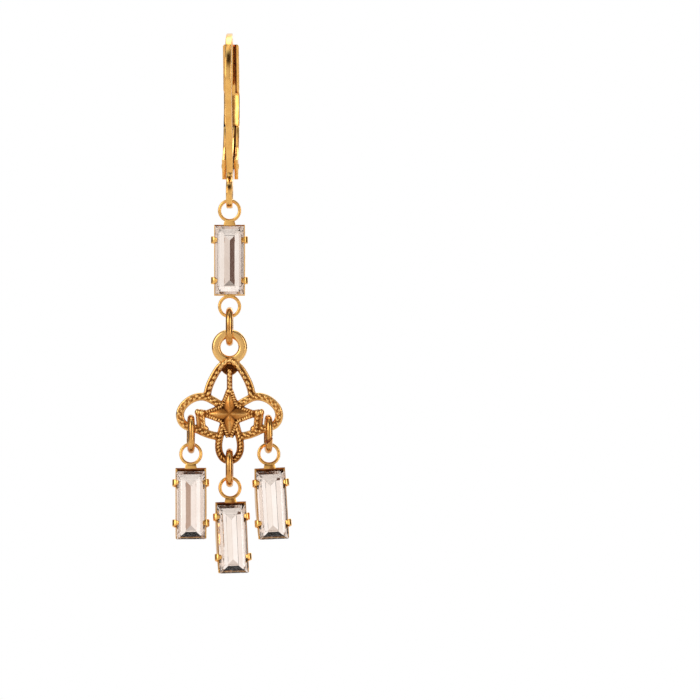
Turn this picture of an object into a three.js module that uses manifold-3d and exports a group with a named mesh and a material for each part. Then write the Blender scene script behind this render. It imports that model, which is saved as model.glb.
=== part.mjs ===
// Chandelier earring with a lever-back ear wire, four step-cut baguette stones in claw cups, and a cast
// openwork centre. Millimetres, +Z up, the earring faces -Y. The origin is the inside of the hook's crown,
// where the ear wire hangs in the ear.
//
// "forward" means towards the viewer who faces the wearer, which is -Y, and "drop" means downwards.

import * as THREE from "three";
import { ConvexGeometry } from "three/addons/geometries/ConvexGeometry.js";
import { mergeVertices } from "three/addons/utils/BufferGeometryUtils.js";
import Module from "manifold-3d";

const wasm = await Module();
wasm.setup();

// Ear wire: square wire bent to a hook that ends in a flat base plate with an eye.
const hookDepth = 8.58;
const hookHeight = 13.65;
const wireWidth = 0.66;
const wireThickness = 0.62;
const tipWidth = 0.34;
const wireChamfer = 0.08;
const eyeForward = 0.7;
const eyeInner = 0.98;
const eyeBand = 0.57;
const eyeChamfer = 0.15;
const eyeBelowWire = 2.06;
const baseRise = 1.3;

// Lever: a folded channel that closes over the hook's tip and turns on a pin through the base plate.
const leverTipDrop = 0.79;
const pivotShare = 0.903;
const leverWidth = 1.6;
const leverWall = 0.24;
const spineWall = 0.2;
const flapWall = 0.14;
const flapSeam = 0.14;
const pivotBehindEye = 1.95;
const pivotAboveEye = 2.73;
const pivotRadius = 0.3;
const pivotClearance = 0.04;
const pivotBoss = 0.62;
const pinStands = 0.08;
const pinChamfer = 0.06;
const leverChamfer = 0.07;
const leafWidth = 0.6;
const leafThickness = 0.14;

// Claw cups: a trough with a bowed floor, four claws, and flat rings at its ends.
const cupWidth = 3.08;
const cupLength = 7.1;
const cupDepth = 1.35;
const cupWall = 0.17;
const cupChamfer = 0.08;
const cupEndWall = 0.12;
const cupEndBack = 0.22;
const rimForward = 0.1;
const lowEndForward = 0.03;
const ringInner = 0.84;
const ringBand = 0.33;
const ringThickness = 0.32;
const ringChamfer = 0.05;
const neckLength = 0.25;
const neckHalfWidth = 0.62;
const lowerRingSink = 0.1;
const clawHeight = 0.74;
const clawSpacing = 4.06;
const clawReach = 0.34;
const clawOverlap = 0.26;
const clawThickness = 0.2;

// Baguette stones, step cut: a table, a crown of four facets, a thin edge and a stepped back with a keel.
const stoneWidth = 2.88;
const stoneLength = 6.83;
const crownHeight = 0.32;
const crownSide = 0.5;
const crownEnd = 0.78;
const girdleHeight = 0.15;
const pavilionDepth = 0.82;
const keelLength = 3.9;
const stoneSeat = 0.09;
const dropStoneShift = 0.24;

// Oval jump rings.
const linkWire = 0.72;
const linkWidth = 3.0;
const linkHeight = 3.91;
const linkWireSides = 6;
const linkSides = 16;
const hangGap = 0.065;
const sliver = 0.006;
const ringSides = 20;
const roundSides = 14;

// Cast centre: corded bands on a flat base, with a ring on top and a four-pointed star in the middle.
const centreHalfWidth = 4.97;
const centreDrop = 11.14;
const bandWidth = 0.8;
const barShare = 0.8;
const tieShare = 0.85;
const borderShare = 0.5;
const castBack = 0.5;
const castFront = 0.6;
const ledgeForward = 0.3;
const cordShare = 0.66;
const topRingMiddle = 1.33;
const topRingWire = 0.91;
const junctionRadius = 0.62;
const junctionDrop = 0.5;
const castChamfer = 0.08;
const starHalf = 2.45;
const starWaist = 0.28;
const starCentreShare = 0.601;
const crossReach = 2.15;
const crossHalfWidth = 0.39;
const crossLift = 0.18;
const scrollRadius = 0.5;
const sideHangShare = 0.78;
const lowerLoopShare = 0.85;

// How each of the three drops hangs in the photograph, in degrees: bottom kicked forward, leaning, turned.
const dropPoses = [
  { name: "left", side: -1, pitch: -9, roll: -0.5, yaw: 0, linkYaw: 6 },
  { name: "middle", side: 0, pitch: -9, roll: -1.5, yaw: 9, linkYaw: 0 },
  { name: "right", side: 1, pitch: -9, roll: -2.3, yaw: 9, linkYaw: 7 },
];

// Colours, measured by eye from the metal and the stones.
const gold = { color: 0xd9a04a, roughness: 0.25, metalness: 1.0 };
const castGold = { color: 0xc98f3c, roughness: 0.38, metalness: 1.0 };
const crystal = { color: 0xe8e0de, roughness: 0.03, metalness: 0.0 };

// Frames for flat pieces: a side plate is drawn in (Y, Z) and a front plate in (X, Z).
const sideFrame = new THREE.Matrix4().makeBasis(
  new THREE.Vector3(0, 1, 0),
  new THREE.Vector3(0, 0, 1),
  new THREE.Vector3(1, 0, 0),
);
const frontFrame = new THREE.Matrix4().makeBasis(
  new THREE.Vector3(1, 0, 0),
  new THREE.Vector3(0, 0, 1),
  new THREE.Vector3(0, -1, 0),
);

function solid(geometry) {
  const plain = geometry.clone();
  plain.deleteAttribute("normal");
  plain.deleteAttribute("uv");
  const merged = mergeVertices(plain, 1e-4);
  return new wasm.Manifold(
    new wasm.Mesh({
      numProp: 3,
      vertProperties: merged.attributes.position.array,
      triVerts: new Uint32Array(merged.index.array),
    }),
  );
}

// Drops the slivers that joining leaves, smaller than a hundredth of a millimetre.
function geometryOf(made) {
  const mesh = made.simplify(sliver).getMesh();
  const geometry = new THREE.BufferGeometry();
  geometry.setAttribute("position", new THREE.BufferAttribute(mesh.vertProperties, 3));
  geometry.setIndex(new THREE.BufferAttribute(mesh.triVerts, 1));
  geometry.computeVertexNormals();
  return geometry;
}

function joined(geometries) {
  return geometries.map(solid).reduce((all, next) => all.add(next));
}

// A flat plate of the given shape, centred on its own plane, with its edges chamfered.
function plate(shape, thickness, chamfer, frame, curveSegments = 12) {
  const geometry = new THREE.ExtrudeGeometry(shape, {
    depth: thickness - 2 * chamfer,
    bevelEnabled: chamfer > 0,
    bevelSize: chamfer,
    bevelOffset: -chamfer,
    bevelThickness: chamfer,
    bevelSegments: 1,
    curveSegments,
  });
  geometry.translate(0, 0, chamfer - thickness / 2);
  return geometry.applyMatrix4(frame);
}

function shapeOf(points) {
  return new THREE.Shape(points);
}

function annulus(inner, outer, x = 0, y = 0) {
  const shape = new THREE.Shape();
  shape.absarc(x, y, outer, 0, 2 * Math.PI, false);
  const hole = new THREE.Path();
  hole.absarc(x, y, inner, 0, 2 * Math.PI, true);
  shape.holes.push(hole);
  return shape;
}

function disc(radius, x, y) {
  const shape = new THREE.Shape();
  shape.absarc(x, y, radius, 0, 2 * Math.PI, false);
  return shape;
}

// A point of a side view: forward of the crown, and up from the origin.
function sidePoint(forward, up) {
  return new THREE.Vector2(-forward, up);
}

// The hook's middle line: forward of the crown and drop below it, as shares of hookDepth and hookHeight.
const hookRows = [
  { forward: 0.062, drop: 1.0 },
  { forward: 0.125, drop: 0.89 },
  { forward: 0.33, drop: 0.619 },
  { forward: 0.422, drop: 0.483 },
  { forward: 0.488, drop: 0.37 },
  { forward: 0.505, drop: 0.289 },
  { forward: 0.464, drop: 0.174 },
  { forward: 0.35, drop: 0.077 },
  { forward: 0.19, drop: 0.018 },
  { forward: 0, drop: 0 },
  { forward: -0.122, drop: 0.02 },
  { forward: -0.216, drop: 0.062 },
  { forward: -0.32, drop: 0.128 },
  { forward: -0.41, drop: 0.209 },
  { forward: -0.468, drop: 0.304 },
  { forward: -0.492, drop: 0.363 },
];
const crownUp = wireThickness / 2;
const wireEndUp = crownUp - hookHeight;
const eyeUp = wireEndUp - eyeBelowWire;
const eyeOuter = eyeInner + eyeBand;
const pivotForward = eyeForward - pivotBehindEye;
const pivotUp = eyeUp + pivotAboveEye;

function bandOutline(middle, thickness, steps) {
  const outer = [];
  const inner = [];
  for (let i = 0; i <= steps; i++) {
    const point = middle.getPoint(i / steps);
    const along = middle.getTangent(i / steps);
    const across = new THREE.Vector2(-along.y, along.x).multiplyScalar(thickness / 2);
    outer.push(point.clone().add(across));
    inner.push(point.clone().sub(across));
  }
  return shapeOf(outer.concat(inner.reverse()));
}

// Narrows the wire evenly from the crown to its tip, behind the crown only.
function taperTip(geometry) {
  const position = geometry.attributes.position;
  const tipUp = crownUp - hookRows[hookRows.length - 1].drop * hookHeight;
  for (let i = 0; i < position.count; i++) {
    const behind = position.getY(i) > 0.1 * hookDepth;
    const share = THREE.MathUtils.clamp((crownUp - position.getZ(i)) / (crownUp - tipUp), 0, 1);
    if (behind && position.getZ(i) > tipUp - wireThickness) {
      position.setX(i, position.getX(i) * (1 + (tipWidth / wireWidth - 1) * share));
    }
  }
  return geometry;
}

function earWire() {
  const middle = new THREE.SplineCurve(
    hookRows.map((row) => sidePoint(row.forward * hookDepth, crownUp - row.drop * hookHeight)),
  );
  const hook = taperTip(
    plate(bandOutline(middle, wireThickness, 36), wireWidth, wireChamfer, sideFrame),
  );
  const wireEnd = middle.getPoint(0);
  const half = wireThickness / 2;
  const base = shapeOf([
    sidePoint(pivotForward, pivotUp + pivotBoss),
    sidePoint(-wireEnd.x + half, wireEnd.y + baseRise),
    sidePoint(-wireEnd.x + half, wireEnd.y),
    sidePoint(eyeForward + 0.55 * eyeOuter, eyeUp + 0.8 * eyeOuter),
    sidePoint(eyeForward, eyeUp + eyeInner + eyeChamfer),
    sidePoint(eyeForward - 0.75 * eyeOuter, eyeUp + 0.62 * eyeOuter),
    sidePoint(pivotForward - 0.72 * pivotBoss, pivotUp - 0.68 * pivotBoss),
  ]);
  const boss = disc(pivotBoss, -pivotForward, pivotUp);
  const eye = annulus(eyeInner, eyeOuter, -eyeForward, eyeUp);
  const pinHole = disc(pivotRadius + pivotClearance, -pivotForward, pivotUp);
  return joined([
    hook,
    plate(base, wireWidth, wireChamfer, sideFrame),
    plate(boss, wireWidth, wireChamfer, sideFrame, roundSides),
    plate(eye, wireWidth, eyeChamfer, sideFrame, ringSides),
  ]).subtract(solid(plate(pinHole, 2 * wireWidth, 0, sideFrame, roundSides)));
}

function pivotPin() {
  const shape = disc(pivotRadius, -pivotForward, pivotUp);
  return plate(shape, leverWidth + 2 * pinStands, pinChamfer, sideFrame, roundSides);
}

// The lever's side view, top to bottom: drop from its tip as a share of leverLength, and how far behind
// the eye its back and its front edge lie, as shares of hookDepth.
const leverRows = [
  { drop: 0, back: 0.45, front: 0.372 },
  { drop: 0.062, back: 0.51, front: 0.398 },
  { drop: 0.137, back: 0.57, front: 0.442 },
  { drop: 0.226, back: 0.628, front: 0.484 },
  { drop: 0.336, back: 0.67, front: 0.52 },
  { drop: 0.348, back: 0.673, front: 0.6 },
  { drop: 0.47, back: 0.684, front: 0.61 },
  { drop: 0.592, back: 0.642, front: 0.572 },
  { drop: 0.604, back: 0.634, front: 0.556 },
  { drop: 0.67, back: 0.583, front: 0.494 },
  { drop: 0.762, back: 0.505, front: 0.372 },
  { drop: 0.814, back: 0.459, front: 0.256 },
  { drop: 0.857, back: 0.42, front: 0.075 },
  { drop: 0.9, back: 0.38, front: 0.115 },
  { drop: 0.958, back: 0.303, front: 0.18 },
  { drop: 1.0, back: 0.227, front: 0.21 },
];
const flapTopRow = 5;
const flapEndRow = 7;
const spineEndDrop = 0.915;
const leverTopUp = crownUp - leverTipDrop;
const leverLength = (leverTopUp - pivotUp) / pivotShare;

function leverPoint(row, edge, inset) {
  const behind = row[edge] * hookDepth + inset;
  return sidePoint(eyeForward - behind, leverTopUp - row.drop * leverLength);
}

function leverOutline(rows, backInset, frontInset) {
  const backs = rows.map((row) => leverPoint(row, "back", backInset));
  const fronts = rows.map((row) => leverPoint(row, "front", frontInset)).reverse();
  return shapeOf(backs.concat(fronts));
}

function lever() {
  const innerWidth = leverWidth - 2 * leverWall;
  const blade = plate(leverOutline(leverRows, 0, 0), leverWidth, leverChamfer, sideFrame);
  const clear = 3 * leverWall;
  const openEnds = [
    { ...leverRows[0], drop: -0.05, back: 0.41 },
    ...leverRows,
    { ...leverRows[leverRows.length - 1], drop: 1.05 },
  ];
  const upper = openEnds.slice(0, flapTopRow + 1);
  const middle = openEnds.slice(flapTopRow, flapEndRow + 3);
  const lower = openEnds.slice(flapEndRow + 2);
  const cavity = [
    plate(leverOutline(upper, -spineWall, -clear), innerWidth, 0, sideFrame),
    plate(leverOutline(middle, -spineWall, flapWall), innerWidth, 0, sideFrame),
    plate(leverOutline(lower, -spineWall, -clear), innerWidth, 0, sideFrame),
    plate(leverOutline(middle, -spineWall, -clear), flapSeam, 0, sideFrame),
  ];
  const spineEndUp = leverTopUp - spineEndDrop * leverLength;
  const heelClear = new THREE.BoxGeometry(innerWidth, 2 * hookDepth, leverLength);
  heelClear.translate(0, 0, spineEndUp - leverLength / 2);
  const pinHole = disc(pivotRadius + pivotClearance, -pivotForward, pivotUp);
  return solid(blade)
    .subtract(joined(cavity))
    .subtract(solid(heelClear))
    .subtract(solid(plate(pinHole, 2 * leverWidth, 0, sideFrame, roundSides)));
}

// The spring leaf's middle line: how far behind the eye, and drop from the lever's tip, in the same shares.
const leafRows = [
  { behind: 0.641, drop: 0.465 },
  { behind: 0.623, drop: 0.53 },
  { behind: 0.603, drop: 0.592 },
  { behind: 0.5, drop: 0.68 },
  { behind: 0.382, drop: 0.744 },
  { behind: 0.27, drop: 0.79 },
  { behind: 0.155, drop: 0.828 },
  { behind: 0.062, drop: 0.846 },
];

function springLeaf() {
  const middle = new THREE.SplineCurve(
    leafRows.map((row) =>
      sidePoint(eyeForward - row.behind * hookDepth, leverTopUp - row.drop * leverLength),
    ),
  );
  return plate(bandOutline(middle, leafThickness, 20), leafWidth, 0, sideFrame);
}

// An oval jump ring: a round ring whose two halves are drawn apart. It hangs in the side plane, and its
// own origin is the middle of the oval.
const linkStretch = (linkHeight - linkWidth) / 2;

function jumpRing() {
  const middle = (linkWidth - linkWire) / 2;
  const geometry = new THREE.TorusGeometry(middle, linkWire / 2, linkWireSides, linkSides);
  geometry.rotateZ(Math.PI / linkSides);
  const position = geometry.attributes.position;
  for (let i = 0; i < position.count; i++) {
    position.setY(i, position.getY(i) + Math.sign(position.getY(i)) * linkStretch);
  }
  return geometry.applyMatrix4(sideFrame);
}

// A claw cup. Its origin is the inner top of its upper ring, the point it hangs by.
const ringOuter = ringInner + ringBand;
const cupTop = -ringInner - ringOuter - neckLength;
const cupMiddle = cupTop - cupLength / 2;
const cupBottom = cupTop - cupLength;
const lowerRingUp = cupBottom - ringOuter + lowerRingSink;

function cupSide(inset, frontY, endInset) {
  const steps = 10;
  const points = [new THREE.Vector2(frontY, cupTop - endInset)];
  for (let i = 0; i <= steps; i++) {
    const share = i / steps;
    const bow = 1 - (2 * share - 1) ** 2;
    const back = cupEndBack + (cupDepth - cupEndBack) * bow - inset;
    const up = cupTop - endInset - share * (cupLength - 2 * endInset);
    points.push(new THREE.Vector2(back, up));
  }
  points.push(new THREE.Vector2(frontY, cupBottom + endInset));
  return shapeOf(points);
}

function claw(side, up) {
  const wall = cupWidth / 2;
  const edge = stoneWidth / 2;
  const girdleFront = -rimForward - stoneSeat - girdleHeight;
  const slope = crownHeight / crownSide;
  const gap = stoneSeat;
  const tip = edge - clawOverlap;
  const tipBack = girdleFront - slope * clawOverlap - gap;
  const outline = [
    [wall - cupWall / 2, 0.4],
    [wall + 0.8 * clawReach, 0.12],
    [wall + clawReach, girdleFront + 0.1],
    [wall + 0.4 * clawReach, girdleFront - 0.28],
    [tip + 0.05, tipBack - clawThickness],
    [tip, tipBack],
    [edge + gap, girdleFront - gap],
    [edge + gap, -rimForward],
  ];
  const shape = shapeOf(outline.map(([x, y]) => new THREE.Vector2(side * x, y)));
  const geometry = new THREE.ExtrudeGeometry(shape, { depth: clawHeight, bevelEnabled: false });
  geometry.translate(0, 0, -clawHeight / 2);
  const position = geometry.attributes.position;
  for (let i = 0; i < position.count; i++) {
    if (Math.abs(position.getX(i)) < edge - 0.1) position.setZ(i, 0.4 * position.getZ(i));
  }
  return geometry.translate(0, 0, up);
}

function endRing(ringUp, cupEnd) {
  const shape = annulus(ringInner, ringOuter, 0, ringUp);
  const ring = plate(shape, ringThickness, ringChamfer, frontFrame, ringSides);
  const towards = Math.sign(cupEnd - ringUp);
  const start = ringUp + towards * (ringInner + 0.5 * ringBand);
  const neck = shapeOf([
    new THREE.Vector2(-0.8 * neckHalfWidth, start),
    new THREE.Vector2(0.8 * neckHalfWidth, start),
    new THREE.Vector2(neckHalfWidth, cupEnd + 0.5 * towards * cupEndWall),
    new THREE.Vector2(-neckHalfWidth, cupEnd + 0.5 * towards * cupEndWall),
  ]);
  return [ring, plate(neck, ringThickness, 0, frontFrame)];
}

// The cup for a stone that hangs free has a low lower end, and its stone stands out over it.
function setting(withLowerRing) {
  const innerWidth = cupWidth - 2 * cupWall;
  const outer = plate(cupSide(0, -rimForward, 0), cupWidth, cupChamfer, sideFrame);
  const hollow = [plate(cupSide(cupWall, -1, cupEndWall), innerWidth, 0, sideFrame)];
  const pieces = endRing(-ringInner, cupTop);
  if (withLowerRing) {
    pieces.push(...endRing(lowerRingUp, cupBottom));
  } else {
    const endCut = new THREE.BoxGeometry(innerWidth, 1, 4 * cupEndWall);
    hollow.push(endCut.translate(0, lowEndForward - 0.5, cupBottom));
  }
  for (const side of [-1, 1]) {
    pieces.push(claw(side, cupMiddle + clawSpacing / 2), claw(side, cupMiddle - clawSpacing / 2));
  }
  return solid(outer).subtract(joined(hollow)).add(joined(pieces));
}

// A stone in the cup's own frame. "shift" moves it down towards the cup's lower end.
function stone(shift) {
  const girdleBack = -rimForward - stoneSeat;
  const levels = [
    { y: girdleBack - girdleHeight - crownHeight, side: crownSide, end: crownEnd },
    { y: girdleBack - girdleHeight, side: 0, end: 0 },
    { y: girdleBack, side: 0, end: 0 },
    { y: girdleBack + 0.45 * pavilionDepth, side: 0.45, end: 0.57 },
    { y: girdleBack + pavilionDepth, side: stoneWidth / 2, end: (stoneLength - keelLength) / 2 },
  ];
  const middle = cupMiddle - shift;
  const points = [];
  for (const { y, side, end } of levels) {
    for (const x of [-1, 1]) {
      for (const z of [-1, 1]) {
        const across = x * (stoneWidth / 2 - side);
        points.push(new THREE.Vector3(across, y, middle + z * (stoneLength / 2 - end)));
      }
    }
  }
  return new ConvexGeometry(points);
}

// The cast centre. Its origin is the middle of its top ring. Each band's rows are shares of
// centreHalfWidth across and of centreDrop down.
const bandTables = {
  petal: [
    { across: 0.07, down: 0.13 },
    { across: 0.222, down: 0.195 },
    { across: 0.346, down: 0.287 },
    { across: 0.418, down: 0.364 },
    { across: 0.456, down: 0.44 },
  ],
  sideLoop: [
    { across: 0.17, down: 0.524 },
    { across: 0.32, down: 0.484 },
    { across: 0.46, down: 0.453 },
    { across: 0.6, down: 0.446 },
    { across: 0.74, down: 0.463 },
    { across: 0.86, down: 0.497 },
    { across: 0.96, down: 0.548 },
    { across: 1.0, down: 0.61 },
    { across: 0.965, down: 0.67 },
    { across: 0.88, down: 0.708 },
    { across: 0.77, down: 0.724 },
    { across: 0.64, down: 0.747 },
    { across: 0.52, down: 0.776 },
    { across: 0.39, down: 0.797 },
    { across: 0.22, down: 0.812 },
  ],
  lowerLoop: [
    { across: 0.125, down: 0.69 },
    { across: 0.19, down: 0.8 },
    { across: 0.22, down: 0.88 },
    { across: 0.2, down: 0.95 },
    { across: 0.12, down: 1.003 },
    { across: 0, down: 1.022 },
  ],
  scroll: [
    { across: 0.594, down: 0.6 },
    { across: 0.588, down: 0.645 },
    { across: 0.586, down: 0.7 },
    { across: 0.59, down: 0.75 },
  ],
};

function bandCurve(rows, side) {
  return new THREE.CatmullRomCurve3(
    rows.map(
      (row) =>
        new THREE.Vector3(side * row.across * centreHalfWidth, 0, -row.down * centreDrop),
    ),
  );
}

// The band's section: a flat base with a raised cord along its middle. The first number goes forward.
function bandSection(width) {
  const half = width / 2;
  const cord = cordShare * half;
  return shapeOf(
    [
      [-castBack, -0.78 * half],
      [-castBack, 0.78 * half],
      [-0.6 * castBack, half],
      [ledgeForward, 0.95 * half],
      [ledgeForward + 0.06, cord],
      [castFront - 0.08, 0.62 * cord],
      [castFront, 0],
      [castFront - 0.08, -0.62 * cord],
      [ledgeForward + 0.06, -cord],
      [ledgeForward, -0.95 * half],
      [-0.6 * castBack, -half],
    ].map(([forward, across]) => new THREE.Vector2(forward, across)),
  );
}

// The sweep's first section axis points to -Y for a path that lies in the front plane.
function band(curve, steps, width = bandWidth) {
  return new THREE.ExtrudeGeometry(bandSection(width), {
    steps,
    bevelEnabled: false,
    extrudePath: curve,
  });
}

function castPlate(shape, front, segments = 16) {
  const thickness = castBack + front;
  const geometry = plate(shape, thickness, castChamfer, frontFrame, segments);
  return geometry.translate(0, castBack - thickness / 2, 0);
}

const starUp = -starCentreShare * centreDrop;

// The star's outline: four points with hollow sides between them.
function starShape(half, waist) {
  const shape = new THREE.Shape();
  const corner = waist * half;
  shape.moveTo(0, starUp + half);
  shape.quadraticCurveTo(corner, starUp + corner, half, starUp);
  shape.quadraticCurveTo(corner, starUp - corner, 0, starUp - half);
  shape.quadraticCurveTo(-corner, starUp - corner, -half, starUp);
  shape.quadraticCurveTo(-corner, starUp + corner, 0, starUp + half);
  return shape;
}

// One arm of the raised cross: a long ridged leaf that starts in the star's middle.
function crossArm(turn) {
  const tipY = -ledgeForward;
  const ridgeY = -ledgeForward - crossLift;
  const rows = [
    { reach: -0.1, half: 0.3 },
    { reach: 0.2, half: 1 },
    { reach: 0.45, half: 0.95 },
    { reach: 0.75, half: 0.55 },
    { reach: 1, half: 0.05 },
  ];
  const points = rows.flatMap(({ reach, half }) => {
    const up = reach * crossReach;
    const across = half * crossHalfWidth;
    const ridge = THREE.MathUtils.lerp(tipY, ridgeY, Math.min(1, 3 * (1 - reach)));
    return [
      new THREE.Vector3(-across, tipY, up),
      new THREE.Vector3(across, tipY, up),
      new THREE.Vector3(-across, 0, up),
      new THREE.Vector3(across, 0, up),
      new THREE.Vector3(0, ridge, up),
    ];
  });
  return new ConvexGeometry(points).rotateY(turn).translate(0, 0, starUp);
}

// A corded band along one hollow side of the star, between two of its points.
function starBorder(turn) {
  const rows = [
    { along: 0.96, out: 0.06 },
    { along: 0.56, out: 0.21 },
    { along: 0.32, out: 0.32 },
    { along: 0.21, out: 0.56 },
    { along: 0.06, out: 0.96 },
  ];
  const curve = new THREE.CatmullRomCurve3(
    rows.map(({ along, out }) => new THREE.Vector3(out * starHalf, 0, along * starHalf)),
  );
  const border = band(curve, 6, borderShare * bandWidth);
  return border.rotateY(turn).translate(0, 0, starUp);
}

function chandelierCentre() {
  const ring = new THREE.TorusGeometry(topRingMiddle, topRingWire / 2, 8, ringSides);
  ring.rotateX(Math.PI / 2);
  const lowerRows = bandTables.lowerLoop;
  const lowerHalf = lowerRows.map((row) => ({ ...row, across: -row.across }));
  const lowerCurve = bandCurve(lowerHalf.concat(lowerRows.slice(0, -1).reverse()), 1);
  const bar = new THREE.LineCurve3(
    new THREE.Vector3(0, 0, -topRingMiddle),
    new THREE.Vector3(0, 0, starUp + 0.8 * starHalf),
  );
  const pieces = [
    ring,
    castPlate(disc(junctionRadius, 0, -topRingMiddle - junctionDrop), castFront - 0.05, roundSides),
    band(bar, 1, barShare * bandWidth),
    castPlate(starShape(starHalf, starWaist), ledgeForward, 8),
    band(lowerCurve, 18, lowerLoopShare * bandWidth),
  ];
  for (const turn of [0, 1, 2, 3]) {
    pieces.push(crossArm((turn * Math.PI) / 2), starBorder((turn * Math.PI) / 2));
  }
  for (const side of [-1, 1]) {
    const scrollRow = bandTables.scroll[0];
    const scrollAcross = side * scrollRow.across * centreHalfWidth;
    const scrollUp = -scrollRow.down * centreDrop;
    pieces.push(
      band(bandCurve(bandTables.petal, side), 7),
      band(bandCurve(bandTables.sideLoop, side), 22),
      band(bandCurve(bandTables.scroll, side), 2, barShare * bandWidth),
      castPlate(disc(scrollRadius, scrollAcross, scrollUp), castFront - 0.08, 12),
      band(
        new THREE.LineCurve3(
          new THREE.Vector3(side * 0.85 * starHalf, 0, starUp),
          new THREE.Vector3(scrollAcross, 0, scrollUp),
        ),
        1,
        tieShare * bandWidth,
      ),
    );
  }
  return joined(pieces);
}

// How far a jump ring's inner top stands above the middle of a band that it hangs on, so that the band's
// corners clear the ring's round end.
function linkTopOverBand(width) {
  const linkInner = linkWidth / 2 - linkWire;
  const free = linkInner - hangGap;
  const backCorner = 0.39 * width - Math.sqrt(free ** 2 - castBack ** 2);
  const sideCorner = 0.5 * width - Math.sqrt(free ** 2 - (0.6 * castBack) ** 2);
  return linkInner + Math.max(backCorner, sideCorner);
}

// The height of a side loop's lower band, measured from the cast centre's origin, at that distance out.
function lowerBandUp(across) {
  const curve = bandCurve(bandTables.sideLoop, 1);
  const points = curve.getPoints(400).filter((p) => p.z < starUp);
  const nearest = points.reduce((best, p) =>
    Math.abs(p.x - across) < Math.abs(best.x - across) ? p : best,
  );
  return nearest.z;
}

// Where everything hangs, from the eye down.
const dropForward = eyeForward;
const upperHang = eyeUp - eyeInner + hangGap;
const linkInnerHalf = linkHeight / 2 - linkWire;
const lowerRingHole = upperHang + lowerRingUp - ringInner;
const mainLinkUp = lowerRingHole + hangGap - linkInnerHalf;
const topRingHole = topRingMiddle - topRingWire / 2;
const centreUp = mainLinkUp - linkInnerHalf + hangGap - topRingHole;

function dropPlace(side) {
  const across = side * sideHangShare * centreHalfWidth;
  const onSide = side !== 0;
  const lowest = bandTables.lowerLoop.at(-1).down;
  const bandUp = onSide ? lowerBandUp(Math.abs(across)) : -lowest * centreDrop;
  const width = onSide ? bandWidth : lowerLoopShare * bandWidth;
  const linkUp = centreUp + bandUp + linkTopOverBand(width) - linkInnerHalf;
  return { across, linkUp, hangUp: linkUp - linkInnerHalf + hangGap };
}

const part = new THREE.Group();

function addMesh(parent, name, geometry, finish) {
  const mesh = new THREE.Mesh(geometry, new THREE.MeshStandardMaterial(finish));
  mesh.name = name;
  parent.add(mesh);
  return mesh;
}

function hangingGroup(across, up) {
  const group = new THREE.Group();
  group.position.set(across, -dropForward, up);
  part.add(group);
  return group;
}

addMesh(part, "ear_wire", geometryOf(earWire()), gold);
addMesh(part, "lever", geometryOf(lever()), gold);
addMesh(part, "spring_leaf", springLeaf(), gold);
addMesh(part, "pivot_pin", pivotPin(), gold);

const upper = hangingGroup(0, upperHang);
addMesh(upper, "upper_setting", geometryOf(setting(true)), gold);
addMesh(upper, "upper_stone", stone(0), crystal);
addMesh(hangingGroup(0, mainLinkUp), "main_link", jumpRing(), gold);
addMesh(hangingGroup(0, centreUp), "chandelier_centre", geometryOf(chandelierCentre()), castGold);

for (const { name, side, pitch, roll, yaw, linkYaw } of dropPoses) {
  const place = dropPlace(side);
  const link = hangingGroup(place.across, place.linkUp);
  link.rotation.z = THREE.MathUtils.degToRad(linkYaw);
  addMesh(link, "link_" + name, jumpRing(), gold);
  const drop = hangingGroup(place.across, place.hangUp);
  const [turnX, turnY, turnZ] = [pitch, roll, yaw].map(THREE.MathUtils.degToRad);
  drop.rotation.set(turnX, turnY, turnZ, "ZYX");
  addMesh(drop, "setting_" + name, geometryOf(setting(false)), gold);
  addMesh(drop, "stone_" + name, stone(dropStoneShift), crystal);
}

export default part;
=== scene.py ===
# %% [markdown]
# # A gold and crystal chandelier earring
# The real earring hangs from a lever-back ear wire. Below it come a long baguette stone in a claw cup, an
# openwork casting, and three more baguettes that swing from oval jump rings. The CAD model gives every
# piece its size and place. This script dresses it: each piece is built again with the rounding, beading
# and facets that make it read as jewellery, in the same place as its CAD solid.

# %% Load the CAD model
import math
import random

import bmesh
import bpy
from mathutils import Matrix, Vector


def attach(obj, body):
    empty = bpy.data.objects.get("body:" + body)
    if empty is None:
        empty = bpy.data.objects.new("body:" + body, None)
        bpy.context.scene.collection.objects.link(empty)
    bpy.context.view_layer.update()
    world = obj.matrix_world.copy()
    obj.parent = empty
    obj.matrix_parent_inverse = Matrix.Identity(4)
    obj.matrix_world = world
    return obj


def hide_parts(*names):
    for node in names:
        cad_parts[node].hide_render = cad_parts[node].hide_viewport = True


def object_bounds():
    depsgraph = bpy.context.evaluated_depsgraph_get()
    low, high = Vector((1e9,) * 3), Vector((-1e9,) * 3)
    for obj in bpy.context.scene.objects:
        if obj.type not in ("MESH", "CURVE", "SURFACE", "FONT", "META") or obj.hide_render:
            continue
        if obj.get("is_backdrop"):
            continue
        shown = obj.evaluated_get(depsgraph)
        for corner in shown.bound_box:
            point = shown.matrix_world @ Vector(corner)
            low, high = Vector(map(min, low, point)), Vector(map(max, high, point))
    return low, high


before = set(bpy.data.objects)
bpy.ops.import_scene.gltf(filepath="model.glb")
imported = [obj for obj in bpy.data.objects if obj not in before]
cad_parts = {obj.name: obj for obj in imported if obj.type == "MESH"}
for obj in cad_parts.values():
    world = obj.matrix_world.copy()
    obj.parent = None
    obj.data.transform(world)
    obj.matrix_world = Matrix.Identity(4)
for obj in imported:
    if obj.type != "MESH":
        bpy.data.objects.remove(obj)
cad_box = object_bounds()

# %% [markdown]
# ## Units, views and small helpers
# Jewellers think in millimetres, so every mesh is drawn in millimetres and shrunk to metres once, when the
# piece is finished. The earring faces -Y. Its flat pieces lie in one of two planes: the hook and lever in
# the side plane, the casting and the rings in the front plane.

# %% Name the units and directions
MM = 0.001
FRONT = Vector((0, -1, 0))
RIGHT = Vector((1, 0, 0))
UP = Vector((0, 0, 1))
EYE_Y = -0.7


def side_point(forward, up):
    """A point of the side plane, by how far forward of the crown and how far up it is."""
    return Vector((0, -forward, up))


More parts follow.
